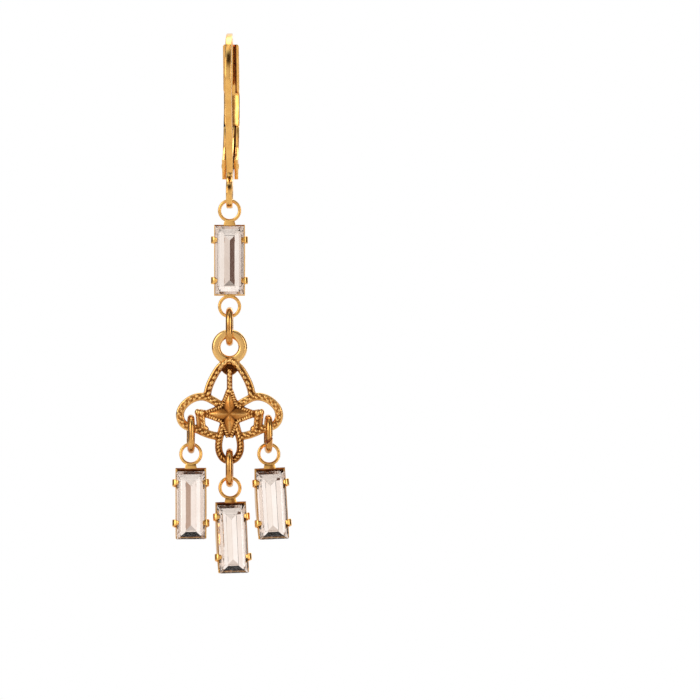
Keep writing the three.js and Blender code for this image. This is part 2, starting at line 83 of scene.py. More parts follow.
def front_point(across, up):
    """A point of the front plane that everything under the eye hangs in."""
    return Vector((across, EYE_Y, up))


# %% [markdown]
# A path is drawn through a few points, as a bench jeweller bends wire through a few marks. A Catmull-Rom
# curve passes through every mark, so the marks can be read straight off a drawing. A Bezier curve would
# need handles, which say nothing about the real wire.

# %% Draw smooth paths


def smooth_path(marks, step):
    """Points about one step apart on a Catmull-Rom curve through the marks."""
    ends = [2 * marks[0] - marks[1]] + marks + [2 * marks[-1] - marks[-2]]
    points = [marks[0]]
    for a, b, c, d in zip(ends, ends[1:], ends[2:], ends[3:]):
        parts = max(1, round((c - b).length / step))
        for i in range(1, parts + 1):
            t = i / parts
            bend = (2 * b + (c - a) * t + (2 * a - 5 * b + 4 * c - d) * t**2) / 2
            points.append(bend + (3 * b - a - 3 * c + d) * t**3 / 2)
    return points


def path_length(path):
    return sum((b - a).length for a, b in zip(path, path[1:]))


# %% [markdown]
# Wire, bands and claws are all one idea: a section drawn along a path. The sweep starts from one ring of
# vertices and extrudes its edges from place to place. It can change the section's size as it goes, which
# is how a claw gets its tip and the hook its thin end.

# %% Sweep a section along a path


def of_kind(kind, parts):
    """The vertices, edges or faces among an operator's results."""
    return [part for part in parts if isinstance(part, kind)]


def path_frames(path, normal, sizes):
    frames = []
    last = len(path) - 1
    for i, point in enumerate(path):
        along = (path[min(i + 1, last)] - path[max(i - 1, 0)]).normalized()
        across = along.cross(normal).normalized()
        place = Matrix((across, normal, along)).transposed().to_4x4()
        place.translation = point
        wide, thick = sizes[i] if sizes else (1, 1)
        frames.append(place @ Matrix.Diagonal((wide, thick, 1, 1)))
    return frames


def sweep(bm, section, path, normal, sizes=None):
    """Adds a capped sweep. The section's first axis lies across the path, and its second on normal."""
    places = path_frames(path, normal, sizes)
    ring = [bm.verts.new(places[0] @ Vector((x, y, 0))) for x, y in section]
    edges = [bm.edges.new(pair) for pair in zip(ring, ring[1:] + ring[:1])]
    bm.faces.new(ring)
    for before, after in zip(places, places[1:]):
        grown = bmesh.ops.extrude_edge_only(bm, edges=edges)["geom"]
        verts = of_kind(bmesh.types.BMVert, grown)
        edges = [e for e in of_kind(bmesh.types.BMEdge, grown) if set(e.verts) <= set(verts)]
        bmesh.ops.transform(bm, matrix=after @ before.inverted(), verts=verts)
    bmesh.ops.contextual_create(bm, geom=edges)


def round_section(radius, count):
    angles = [2 * math.pi * i / count for i in range(count)]
    return [(radius * math.cos(angle), radius * math.sin(angle)) for angle in angles]


def soft_box(width, thick, corner, steps=3):
    """A rectangle with rounded corners, centred on the path."""
    rows = []
    for quarter, (side_x, side_y) in enumerate([(1, 1), (-1, 1), (-1, -1), (1, -1)]):
        for i in range(steps + 1):
            angle = (quarter + i / steps) * math.pi / 2
            x = side_x * (width / 2 - corner) + corner * math.cos(angle)
            y = side_y * (thick / 2 - corner) + corner * math.sin(angle)
            rows.append((x, y))
    return rows


# %% [markdown]
# Stamped pieces are plates cut to an outline. A face with that outline is extruded by the plate's
# thickness, half of it to each side of the plane it lies in. A ring's section is spun once round its axis.

# %% Make plates and flat rings


def plate(bm, outline, normal, thickness):
    """Adds a plate with the given outline, centred on the outline's own plane."""
    face = bm.faces.new([bm.verts.new(point - normal * thickness / 2) for point in outline])
    grown = bmesh.ops.extrude_face_region(bm, geom=[face])["geom"]
    bmesh.ops.translate(bm, vec=normal * thickness, verts=of_kind(bmesh.types.BMVert, grown))


def flat_ring(bm, centre, inner, outer, thickness, axis, corner, steps=56, rounding=4):
    """Adds a washer with rounded edges. steps go round the ring, rounding round each corner."""
    middle = centre + UP * (inner + outer) / 2
    section = soft_box(outer - inner, thickness, corner, rounding)
    ring = [bm.verts.new(middle + UP * x + axis * y) for x, y in section]
    geom = ring + [bm.edges.new(pair) for pair in zip(ring, ring[1:] + ring[:1])]
    turn = 2 * math.pi
    bmesh.ops.spin(bm, geom=geom, cent=centre, axis=axis, angle=turn, steps=steps, use_merge=True)


# %% [markdown]
# No edge on a tumbled piece is sharp: it shows as a thin bright line, because a small round always finds
# some light to reflect. Bevelling chosen edges of the mesh gives that. A modifier could bevel by angle
# alone, but here some edges are rounded more than others.

# %% Bevel chosen edges


def bevel_edges(bm, edges, offset, segments=2, clamp=True):
    shape = {"affect": "EDGES", "profile": 0.5, "material": -1, "clamp_overlap": clamp}
    bmesh.ops.bevel(bm, geom=edges, offset=offset, segments=segments, **shape)


def sharp_edges(bm, limit=30):
    """The edges whose faces meet at more than the limit, in degrees."""
    edges = [e for e in bm.edges if len(e.link_faces) == 2]
    return [e for e in edges if e.calc_face_angle() > math.radians(limit)]


def long_edges(bm, chosen):
    """The edges that run along a plate's outline, where chosen says so of both their ends."""
    edges = [e for e in bm.edges if abs(e.verts[0].co.x - e.verts[1].co.x) < 0.002]
    return [e for e in edges if all(chosen(v.co) for v in e.verts)]


# %% [markdown]
# Each solid is welded and its faces are turned outwards. A cut takes one solid from another with a Boolean,
# as a file or a punch would. Finishing shades the mesh smooth up to a sharp angle, and hands the piece to
# the CAD body that it moves with.

# %% Cut and finish pieces


def new_object(name, bm, finishes):
    mesh = bpy.data.meshes.new(name)
    bm.to_mesh(mesh)
    bm.free()
    for finish in finishes:
        mesh.materials.append(finish)
    piece = bpy.data.objects.new(name, mesh)
    bpy.context.scene.collection.objects.link(piece)
    return piece


def loose_object(name, bm, *finishes):
    bmesh.ops.remove_doubles(bm, verts=bm.verts, dist=0.001)
    bmesh.ops.recalc_face_normals(bm, faces=bm.faces)
    return new_object(name, bm, finishes)


def solid(name, finish, draw, *sizes):
    """One loose object that sweep, plate or flat_ring draws."""
    bm = bmesh.new()
    draw(bm, *sizes)
    return loose_object(name, bm, finish)


def applied(piece):
    """Keeps what the modifiers make as the piece's own mesh, and clears them."""
    graph = bpy.context.evaluated_depsgraph_get()
    mesh = bpy.data.meshes.new_from_object(piece.evaluated_get(graph))
    piece.modifiers.clear()
    piece.data = mesh
    return piece


def boolean(piece, others, operation):
    """Joins or cuts with other objects, which are used up. Cut faces take the cutter's finish."""
    for other in others:
        step = piece.modifiers.new("cut", "BOOLEAN")
        step.operation = operation
        step.object = other
        step.solver = "EXACT"
        step.material_mode = "TRANSFER"
    applied(piece)
    for other in others:
        bpy.data.objects.remove(other)
    return piece


def joined(name, parts, finishes):
    """One object from several, which are used up. Their shells stay as they are and may overlap."""
    bm = bmesh.new()
    for part in parts:
        bm.from_mesh(part.data)
        bpy.data.objects.remove(part)
    return new_object(name, bm, finishes)


def finish_piece(piece, body, node, sharp=38, edge=0.0):
    """Shrinks a piece from millimetres to metres, shades it, hangs it on its body and hides its CAD node."""
    piece.data.transform(Matrix.Scale(MM, 4))
    if edge:
        bevel = piece.modifiers.new("worn edges", "BEVEL")
        bevel.width = edge * MM
        bevel.segments = 2
        bevel.limit_method = "ANGLE"
        bevel.angle_limit = math.radians(sharp)
        bevel.use_clamp_overlap = True
        applied(piece)
    piece.data.shade_smooth()
    piece.data.set_sharp_from_angle(angle=math.radians(sharp))
    if edge:
        flats = piece.modifiers.new("keep flats flat", "WEIGHTED_NORMAL")
        flats.keep_sharp = True
    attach(piece, body)
    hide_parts(node)
    print(f"{piece.name}: {len(piece.data.polygons)} faces, on {body}")


# %% [markdown]
# ## Finishes
# Colours are picked as they look on a screen, in sRGB hex, and turned to the linear values that light
# works in. One small function adds a node, sets it up and links it.

# %% Turn colours to linear and add nodes


def linear(text):
    """An sRGB hex colour as linear red, green, blue and alpha."""
    parts = [int(text[i : i + 2], 16) / 255 for i in (1, 3, 5)]
    lit = [p / 12.92 if p <= 0.04045 else ((p + 0.055) / 1.055) ** 2.4 for p in parts]
    return (*lit, 1.0)


def link(tree, node, sources):
    """Feeds a node's inputs. A source is an output, or a node that stands for its first output."""
    for key, source in sources.items():
        output = source.outputs[0] if isinstance(source, bpy.types.Node) else source
        tree.links.new(output, node.inputs[key])


def add_node(tree, kind, sources=None, settings=None, stops=(), **values):
    """Adds a node with its linked inputs, its inputs' settings, its ramp's stops and its own values."""
    node = tree.nodes.new(kind)
    for key, value in values.items():
        setattr(node, key, value)
    for key, value in (settings or {}).items():
        node.inputs[key].default_value = value
    link(tree, node, sources or {})
    if stops:
        elements = node.color_ramp.elements
        elements.remove(elements[1])
        elements[0].position = stops[0][0]
        elements[0].color = linear(stops[0][1])
        for place, colour in stops[1:]:
            elements.new(place).color = linear(colour)
    return node


def blotches(size):
    """The scale of a noise whose light and dark patches are about this many millimetres apart."""
    return 1 / (size * MM)


def new_finish(name, metallic=0.0, roughness=0.5):
    """A finish to fill in: the material, its nodes, its main shader and the place on the piece."""
    material = bpy.data.materials.new(name)
    material.use_nodes = True
    tree = material.node_tree
    shader = tree.nodes["Principled BSDF"]
    shader.inputs["Metallic"].default_value = metallic
    shader.inputs["Roughness"].default_value = roughness
    place = add_node(tree, "ShaderNodeTexCoord").outputs["Object"]
    return material, tree, shader, {"Vector": place}


# %% [markdown]
# ### Gold plate on stamped brass
# The wire, lever and cups are brass, stamped or drawn, tumbled smooth and plated with warm gold. To the eye
# that is a satin metal, soft in its highlights, with faint waves about 1 mm apart from tumbling and a fine
# grit. A metal's colour is its reflection's colour, so the base colour carries the warmth. The jump rings
# look browner, so they get the same finish in two deeper colours.

# %% Make the plated gold


def plated_gold(name, bright, deep):
    """Tumbled brass under thin gold: satin, with soft waves and a grit too fine to count."""
    material, tree, shader, place = new_finish(name, 1.0)
    size = {"Scale": blotches(1.1), "Detail": 3.0, "Roughness": 0.55}
    waves = add_node(tree, "ShaderNodeTexNoise", place, size)
    grit = add_node(tree, "ShaderNodeTexNoise", place, {"Scale": blotches(0.15), "Detail": 2.0})
    tone = add_node(tree, "ShaderNodeValToRGB", {"Fac": waves}, stops=[(0.3, deep), (0.62, bright)])
    reach = {"From Min": 0.3, "From Max": 0.7, "To Min": 0.15, "To Max": 0.23}
    polish = add_node(tree, "ShaderNodeMapRange", {"Value": grit}, reach)
    height = {"Strength": 0.25, "Distance": 0.00004}
    relief = add_node(tree, "ShaderNodeBump", {"Height": waves}, height)
    height = {"Strength": 0.06, "Distance": 0.00001}
    fine = add_node(tree, "ShaderNodeBump", {"Height": grit, "Normal": relief}, height)
    link(tree, shader, {"Base Color": tone, "Roughness": polish, "Normal": fine})
    return material


satin_gold = plated_gold("gold plate on stamped brass, tumbled", "#F4BF6E", "#E6AB5A")
ring_gold = plated_gold("gold plate on drawn brass wire, a little browned", "#E6AE62", "#B8783A")
print("made", satin_gold.name, "and", ring_gold.name)

# %% [markdown]
# Inside a folded channel or a cup the metal lies in shade and looks dark brown wherever one looks into a
# recess. That shade is painted: the recesses get a dark brown finish of their own, which the cutting shapes
# carry onto the faces that they cut.

# %% Make the dark brown painted shade


def patchy_metal(name, size, stops, metallic, roughness):
    """A metal whose tone wanders between two colours, in patches of the given size."""
    material, tree, shader, place = new_finish(name, metallic, roughness)
    stain = add_node(tree, "ShaderNodeTexNoise", place, size)
    tone = add_node(tree, "ShaderNodeValToRGB", {"Fac": stain}, stops=stops)
    link(tree, shader, {"Base Color": tone})
    print("made", name)
    return material


# Painted shade: a dark brown finish for faces inside recesses, where shade falls.
painted_shade_brass = patchy_metal(
    "dark brown painted shade in the recesses",
    {"Scale": blotches(0.8), "Detail": 3.0},
    [(0.35, "#6A2E10"), (0.7, "#B46E30")],
    metallic=0.7,
    roughness=0.5,
)

# %% [markdown]
# ### Gold plate on a browned casting
# The openwork is cast, so its skin is a little grainy. After plating, a brown patina was wiped on and off
# again: it stays in the hollows between the strands and leaves the ridges bright. The mesh itself says
# where its hollows are, in an attribute that is worked out further down, and the colour follows it.

# %% Make the cast gold finish
CAST_RIDGE = "#EDBC74"
CAST_FLANK = "#B87838"
CAST_HOLLOW = "#5A3014"


def cast_gold_finish():
    """Lost-wax brass, gilt and patinated: bright ridges, brown hollows, a skin like fine sand."""
    name = "gold plate on cast brass, browned in the hollows"
    material, tree, shader, place = new_finish(name, 1.0)
    hollow = add_node(tree, "ShaderNodeAttribute", attribute_name="hollow")
    size = {"Scale": blotches(0.26), "Detail": 4.0, "Roughness": 0.6}
    skin = add_node(tree, "ShaderNodeTexNoise", place, size)
    patch = add_node(tree, "ShaderNodeTexNoise", place, {"Scale": blotches(1.1), "Detail": 2.0})
    spread = {1: 0.34, 2: -0.17}
    uneven = add_node(tree, "ShaderNodeMath", {0: patch}, spread, operation="MULTIPLY_ADD")
    terms = {0: hollow.outputs["Fac"], 1: uneven}
    depth = add_node(tree, "ShaderNodeMath", terms, operation="ADD")
    stops = [(0.3, CAST_RIDGE), (0.56, CAST_FLANK), (0.86, CAST_HOLLOW)]
    tone = add_node(tree, "ShaderNodeValToRGB", {"Fac": depth}, stops=stops)
    reach = {"From Min": 0.35, "From Max": 0.85, "To Min": 0.24, "To Max": 0.6}
    polish = add_node(tree, "ShaderNodeMapRange", {"Value": depth}, reach)
    height = {"Strength": 0.12, "Distance": 0.00003}
    relief = add_node(tree, "ShaderNodeBump", {"Height": skin}, height)
    link(tree, shader, {"Base Color": tone, "Roughness": polish, "Normal": relief})
    return material


cast_gold = cast_gold_finish()
print("made", cast_gold.name)

# %% [markdown]
# ### Foiled crystal
# A baguette is lead crystal, pressed and polished, with a silver foil on its back facets. Light goes in
# through the front, off the foil and out again, so the stone looks like a box of small mirrors. Two
# finishes do that: clear glass with crystal's index of refraction on the front, and a mirror behind.

# %% Make the crystal and its foil
CRYSTAL_INDEX = 1.56


def clear_crystal():
    """Polished lead crystal: clear, with a breath of haze where it was handled."""
    material, tree, shader, place = new_finish("lead crystal, polished")
    wipe = add_node(tree, "ShaderNodeTexNoise", place, {"Scale": blotches(2.0), "Detail": 2.0})
    reach = {"From Min": 0.4, "From Max": 0.7, "To Min": 0.0, "To Max": 0.015}
    polish = add_node(tree, "ShaderNodeMapRange", {"Value": wipe}, reach)
    shader.inputs["Base Color"].default_value = linear("#FBF7F4")
    shader.inputs["Transmission Weight"].default_value = 1.0
    shader.inputs["IOR"].default_value = CRYSTAL_INDEX
    link(tree, shader, {"Roughness": polish})
    return material


crystal = clear_crystal()
foil = patchy_metal(
    "silver foil behind the crystal",
    {"Scale": blotches(2.4), "Detail": 2.0},
    [(0.35, "#F0E8E2"), (0.6, "#F6F0EC")],
    metallic=1.0,
    roughness=0.05,
)
print("made", crystal.name)

# %% [markdown]
# ## The ear wire
# The real one is a single piece of square wire. It is bent to a hook, thinned towards the tip that goes
# through the ear, and its other end is pressed into a flat plate with a hole for the lever's pin and an
# eye for the drop. The marks below are read off the photograph's two earrings, one seen from the front and
# one from the side, in millimetres forward of the crown and up from it.

# %% Write down the ear wire's shape
WIRE_WIDE = 0.66
WIRE_THICK = 0.62
WIRE_CORNER = 0.11
TIP_WIDE = 0.34
TIP_THINNER = 0.18
THIN_FROM = 0.62
EYE_UP = -15.4
EYE_INNER = 0.98
EYE_OUTER = 1.55
PIVOT = side_point(-1.25, -12.67)
PIN_HOLE = 0.345
BOSS_INNER = 0.34
BOSS_OUTER = 0.62
HOOK_MARKS = [
    *[(0.53, -13.34), (1.07, -11.84), (2.83, -8.14), (3.62, -6.28), (4.19, -4.74), (4.33, -3.63)],
    *[(3.98, -2.07), (3.0, -0.74), (1.63, 0.06), (0.0, 0.31), (-1.05, 0.04), (-1.85, -0.54)],
    *[(-2.75, -1.44), (-3.52, -2.54), (-4.02, -3.84), (-4.22, -4.56)],
]
BASE_MARKS = [
    *[(-1.25, -12.07), (0.84, -12.05), (0.84, -13.34), (1.5, -14.25)],
    *[(0.7, -14.32), (-0.4, -14.5), (-1.68, -13.08)],
]
print("the hook follows", len(HOOK_MARKS), "marks")

# %% [markdown]
# A swept square with soft corners gives the wire, and its sizes along the path thin it towards the tip. The
# pressed part is a plate with bevelled edges, a drilled hole with a raised rim, and a spun ring for the
# eye. A Boolean welds the four to one skin, as the press leaves them.

# %% Build the ear wire


def hook_sizes(path):
    """How much of the full wire is left at each point of the path, as thickness and width."""
    length = path_length(path)
    run = 0.0
    sizes = []
    for i, point in enumerate(path):
        run += (point - path[i - 1]).length if i else 0.0
        thinned = max(0.0, (run / length - THIN_FROM) / (1 - THIN_FROM))
        rounding = min(1.0, 0.55 + 1.8 * (length - run))
        wide = 1 + (TIP_WIDE / WIRE_WIDE - 1) * thinned
        sizes.append((rounding * (1 - TIP_THINNER * thinned), rounding * wide))
    return sizes


def ear_wire():
    path = smooth_path([side_point(*mark) for mark in HOOK_MARKS], 0.25)
    section = soft_box(WIRE_THICK, WIRE_WIDE, WIRE_CORNER)
    hook = solid("ear_hook", satin_gold, sweep, section, path, RIGHT, hook_sizes(path))
    rim = (PIVOT, BOSS_INNER, BOSS_OUTER, WIRE_WIDE, RIGHT, 0.06, 40)
    boss = solid("boss", satin_gold, flat_ring, *rim)
    ring = (side_point(-EYE_Y, EYE_UP), EYE_INNER, EYE_OUTER, WIRE_WIDE - 0.03, RIGHT, 0.15, 64)
    eye = solid("eye", satin_gold, flat_ring, *ring)
    drill = [PIVOT - RIGHT, PIVOT + RIGHT]
    hole = solid("hole", satin_gold, sweep, round_section(PIN_HOLE, 24), drill, UP)
    bm = bmesh.new()
    plate(bm, [side_point(*mark) for mark in BASE_MARKS], RIGHT, WIRE_WIDE - 0.01)
    bevel_edges(bm, sharp_edges(bm), 0.06)
    base = boolean(loose_object("base", bm, satin_gold), [hole], "DIFFERENCE")
    return boolean(hook, [base, boss, eye], "UNION")


finish_piece(ear_wire(), "wire", "ear_wire")

# %% [markdown]
# ## The lever
# The lever is one stamping, folded to a channel that shuts over the hook's tip. Its lower end opens into
# two triangular plates for the pin, and its middle is folded shut by two flaps that meet in a seam and
# hold the spring leaf. Each row below is one height on its side view: how far back its spine lies there,
# and how far back its front edge.

# %% Write down the lever's shape
LEVER_WIDE = 1.6
LEVER_WALL = 0.24
SPINE_WALL = 0.2
FLAP_WALL = 0.16
FLAP_TUCK = 0.32
FLAP_GAP = 0.76
FLOOR_GAP = 0.72
LOWER_GAP = 0.98
HEEL_GAP = 0.84
SEAM_GAP = 0.1
LEVER_HOLE = 0.33
FRONT_ROUND = 0.12
SPINE_ROUND = 0.14
TOP_ROUND = 0.24
LEVER_ROWS = [
    {"up": -0.36, "back": 3.8, "front": 3.14},
    {"up": -1.32, "back": 4.38, "front": 3.41},
    {"up": -2.33, "back": 4.89, "front": 3.79},
    {"up": -3.53, "back": 5.39, "front": 4.15},
    {"up": -5.02, "back": 5.75, "front": 4.46},
    {"up": -5.18, "back": 5.77, "front": 5.15},
    {"up": -6.82, "back": 5.87, "front": 5.23},
    {"up": -8.47, "back": 5.51, "front": 4.91},
    {"up": -8.63, "back": 5.44, "front": 4.77},
    {"up": -9.52, "back": 5.0, "front": 4.24},
    {"up": -10.77, "back": 4.33, "front": 3.19},
    {"up": -11.47, "back": 3.94, "front": 2.2},
    {"up": -12.05, "back": 3.6, "front": 0.64},
    {"up": -12.63, "back": 3.26, "front": 0.99},
    {"up": -13.41, "back": 2.6, "front": 1.54},
    {"up": -13.98, "back": 1.95, "front": 1.8},
]
FLAP_FIRST = 5
FLAP_LAST = 7
CURVED_LAST = 11
SPINE_END = -12.83
print("the lever is", round(LEVER_ROWS[0]["up"] - LEVER_ROWS[-1]["up"], 2), "mm long")

# %% [markdown]
# The lever could be built as thin sheet and given a wall, but its wall changes thickness from place to
# place. It is cut from one solid instead: an outline, less the channel, less the seam. These helpers turn
# rows into a side view, add rows for a smooth curve, and find the spine at any height.

# %% Prepare the lever's cutting shapes


def lever_outline(rows, back_inset=0.0, front_inset=0.0):
    """The side view of some of the lever's rows, measured backwards from the eye."""
    backs = [side_point(-EYE_Y - r["back"] - back_inset, r["up"]) for r in rows]
    fronts = [side_point(-EYE_Y - r["front"] - front_inset, r["up"]) for r in rows]
    return backs + fronts[::-1]


def smooth_rows(rows, step=0.35):
    """The rows with more between them, so that the lever's back is a curve and not a chain of flats."""
    backs = smooth_path([Vector((r["up"], r["back"], r["front"])) for r in rows], step)
    return [{"up": p.x, "back": p.y, "front": p.z} for p in backs]


def back_at(rows, up):
    """How far back the lever's spine lies at a height, as a Y value."""
    for a, b in zip(rows, rows[1:]):
        if b["up"] <= up + 1e-6 <= a["up"] + 1e-5:
            share = (a["up"] - up) / (a["up"] - b["up"])
            return EYE_Y + a["back"] + share * (b["back"] - a["back"])
    return EYE_Y + (rows[0] if up > rows[0]["up"] else rows[-1])["back"]


# %% [markdown]
# The solid is rounded before it is cut, so that the bevel meets plain faces. The flaps lean back from their
# seam, which is why they catch more light than the hook. Then the channel goes in, piece by piece, and the
# dark brown finish of painted shade comes with it. Its floor behind the wire is left without that painted
# shade, so one shallow cut brings gold.

# %% Build the lever


def rounded_lever(rows, flap_top, flap_end):
    bm = bmesh.new()
    plate(bm, lever_outline(rows), RIGHT, LEVER_WIDE)
    bmesh.ops.bisect_plane(bm, geom=bm.verts[:] + bm.edges[:] + bm.faces[:], plane_no=RIGHT)
    sides = [v for v in bm.verts if abs(v.co.x) > 0.1 and v.co.y < back_at(rows, v.co.z) - 0.3]
    flap_sides = [v for v in sides if flap_end - 0.01 < v.co.z < flap_top + 0.01]
    bmesh.ops.translate(bm, vec=-FRONT * FLAP_TUCK, verts=flap_sides)
    rim = LEVER_WIDE / 2 - 0.01
    top = long_edges(bm, lambda co: co.z > LEVER_ROWS[0]["up"] - 0.01 and abs(co.x) > rim)
    bevel_edges(bm, top, TOP_ROUND, 5, clamp=False)
    front = long_edges(bm, lambda co: co.y < back_at(rows, co.z) - 0.28 and abs(co.x) > rim)
    bevel_edges(bm, front, FRONT_ROUND, 4, clamp=False)
    spine = long_edges(bm, lambda co: co.y > back_at(rows, co.z) - 0.02 and abs(co.x) > rim)
    bevel_edges(bm, spine, SPINE_ROUND, 4, clamp=False)
    return loose_object("lever_back", bm, satin_gold)


def lever():
    upper_rows = smooth_rows(LEVER_ROWS[:FLAP_FIRST])
    flap_rows = smooth_rows(LEVER_ROWS[FLAP_FIRST : FLAP_LAST + 1])
    lower_rows = smooth_rows(LEVER_ROWS[FLAP_LAST + 1 : CURVED_LAST + 1])
    lower_rows += LEVER_ROWS[CURVED_LAST + 1 :]
    rows = upper_rows + flap_rows + lower_rows
    blade = rounded_lever(rows, flap_rows[0]["up"], flap_rows[-1]["up"])
    inner = LEVER_WIDE - 2 * LEVER_WALL
    clear = -4 * LEVER_WALL
    first, last = rows[0], rows[-1]
    above = {"up": first["up"] + 0.7, "back": first["back"] - 0.4, "front": first["front"]}
    below = {"up": last["up"] - 0.7, "back": last["back"], "front": last["front"]}
    upper = [above] + upper_rows + flap_rows[:1]
    middle = upper_rows[-1:] + flap_rows + lower_rows[:1]
    lower = flap_rows[-1:] + lower_rows[:-3]
    heel = lower_rows[-4:] + [below]
    # The channel's cut faces take the dark brown painted shade; the floor's shallow cut puts plain gold
    # back.
    cuts = [
        ("upper channel", upper, SPINE_WALL, clear, inner, painted_shade_brass),
        ("floor left without painted shade", upper, SPINE_WALL - 0.02, clear, FLOOR_GAP, satin_gold),
        ("under the flaps", middle, SPINE_WALL, FLAP_WALL, FLAP_GAP, painted_shade_brass),
        ("lower channel", lower, SPINE_WALL, clear, LOWER_GAP, painted_shade_brass),
        ("heel channel", heel, SPINE_WALL, clear, HEEL_GAP, painted_shade_brass),
        ("seam", middle, SPINE_WALL + 0.01, clear, SEAM_GAP, painted_shade_brass),
    ]
    cutters = [
        solid(name, finish, plate, lever_outline(some, -wall, front), RIGHT, wide)
        for name, some, wall, front, wide, finish in cuts
    ]
    end = [(9, SPINE_END), (-9, SPINE_END), (-9, SPINE_END - 3), (9, SPINE_END - 3)]
    end = [side_point(*p) for p in end]
    # The open end's cut faces get the dark brown painted shade too.
    cutters.append(solid("open end", painted_shade_brass, plate, end, RIGHT, HEEL_GAP + 0.01))
    drill = [PIVOT - 2 * RIGHT, PIVOT + 2 * RIGHT]
    cutters.append(solid("pin hole", satin_gold, sweep, round_section(LEVER_HOLE, 24), drill, UP))
    return boolean(blade, cutters, "DIFFERENCE")


finish_piece(lever(), "lever_body", "lever", edge=0.035)

# %% [markdown]
# The spring leaf is a strip of springy brass. It is trapped under the flaps and its free end lies by the
# base plate, so that the lever snaps shut. The pin is a rivet: a round bar whose ends are spread to low
# domes over the lever's plates.

# %% Build the spring leaf and the pin
LEAF_THICK = 0.13
LEAF_WIDE = 0.6
LEAF_MARKS = [
    *[(-4.8, -6.76), (-4.65, -7.64), (-4.47, -8.47), (-3.59, -9.66)],
    *[(-2.58, -10.52), (-1.62, -11.15), (-0.63, -11.66), (0.17, -11.9)],
]
PIN_RADIUS = 0.3
PIN_PROUD = 0.08


def spring_leaf():
    path = smooth_path([side_point(*mark) for mark in LEAF_MARKS], 0.2)
    section = soft_box(LEAF_THICK, LEAF_WIDE, 0.04, 2)
    return solid("spring_strip", satin_gold, sweep, section, path, RIGHT)


def pivot_pin():
    half = LEVER_WIDE / 2 + PIN_PROUD
    reach = [-half, -half + 0.03, -half + 0.08, half - 0.08, half - 0.03, half]
    domes = [(d, d) for d in (0.6, 0.88, 1.0, 1.0, 0.88, 0.6)]
    path = [PIVOT + RIGHT * x for x in reach]
    return solid("rivet", satin_gold, sweep, round_section(PIN_RADIUS, 24), path, UP, domes)


finish_piece(spring_leaf(), "lever_body", "spring_leaf")
finish_piece(pivot_pin(), "wire", "pivot_pin")

# %% [markdown]
# ## Claw cups
# A cup is stamped from thin sheet: a trough with a bowed floor whose strip runs on as a neck and a ring,
# and four claws that are bent over the stone. All four cups are one size. Heights are measured from the
# place where the cup hangs, which is the inner top of its upper ring, and depths from the ring's middle.

# %% Name the cup's sizes
CUP_WIDE = 3.08
CUP_LONG = 7.1
CUP_DEEP = 1.35
CUP_END_BACK = 0.22
CUP_WALL = 0.17
CUP_ROUND = 0.2
RIM = -0.1
LOW_END = 0.03
RING_INNER = 0.84
RING_OUTER = 1.17
RING_THICK = 0.3
NECK = 0.25
CUP_TOP = -RING_INNER - RING_OUTER - NECK
CUP_MIDDLE = CUP_TOP - CUP_LONG / 2
CUP_BOTTOM = CUP_TOP - CUP_LONG
LOWER_RING = CUP_BOTTOM - RING_OUTER + 0.1
CLAW_SPACING = 4.06
STONE_WIDE = 2.88
STONE_LONG = 6.83
GIRDLE_BACK = RIM - 0.09
GIRDLE_FRONT = GIRDLE_BACK - 0.15
TABLE = GIRDLE_FRONT - 0.32
print("a cup reaches from", round(CUP_TOP, 2), "to", round(CUP_BOTTOM, 2), "mm")

# %% [markdown]
# The trough starts as a plate with the cup's side view. Its two long back edges are rounded, its front face
# goes, and solidify gives the shell its walls, as thick as the sheet. The inside and the top rim get painted
# shade, the dark brown finish. A cup that hangs free has a low lower end, and its stone reaches out over it.

# %% Build the trough


def cup_outline(low_end):
    """The trough's side view: straight in front, bowed behind."""
    marks = [(RIM, CUP_TOP)]
    if low_end:
        marks += [(RIM, CUP_BOTTOM + 0.34), (LOW_END, CUP_BOTTOM + 0.2), (LOW_END, CUP_BOTTOM)]
    else:
        marks += [(RIM, CUP_BOTTOM)]
    steps = 20
    for i in range(steps + 1):
        share = i / steps
        bow = 1 - (2 * share - 1) ** 2
        back = CUP_END_BACK + (CUP_DEEP - CUP_END_BACK) * bow
        marks.append((back, CUP_BOTTOM + share * CUP_LONG))
    return [Vector((0, y, z)) for y, z in marks]


def trough(low_end):
    bm = bmesh.new()
    plate(bm, cup_outline(low_end), RIGHT, CUP_WIDE)
    bmesh.ops.recalc_face_normals(bm, faces=bm.faces)
    bevel_edges(bm, long_edges(bm, lambda co: co.y > CUP_END_BACK - 0.01), CUP_ROUND, 3)
    bm.normal_update()
    front = [f for f in bm.faces if f.normal.y < -0.4]
    bmesh.ops.delete(bm, geom=front, context="FACES")
    bmesh.ops.recalc_face_normals(bm, faces=bm.faces)
    grown = bmesh.ops.solidify(bm, geom=bm.faces[:], thickness=CUP_WALL)["geom"]
    inside = of_kind(bmesh.types.BMFace, grown)
    rim = [f for f in bm.faces if f.calc_center_median().y < RIM + 0.02]
    top_rim = [f for f in rim if f.calc_center_median().z > CUP_TOP - CUP_WALL]
    # The inside and the top rim take the dark brown finish: painted shade.
    for face in inside + top_rim:
        face.material_index = 1
    return loose_object("cup", bm, satin_gold, painted_shade_brass)


# %% [markdown]
# A claw is a strip that stands on the cup's wall and is pushed over the stone's edge with a steel punch. It
# is a swept strip here, narrower and thinner towards its tip, because the punch draws it out.

# %% Bend a claw
CLAW_THICK = 0.22
CLAW_WIDE = 0.74
CLAW_CORNER = 0.09
TIP_FROM = 0.6


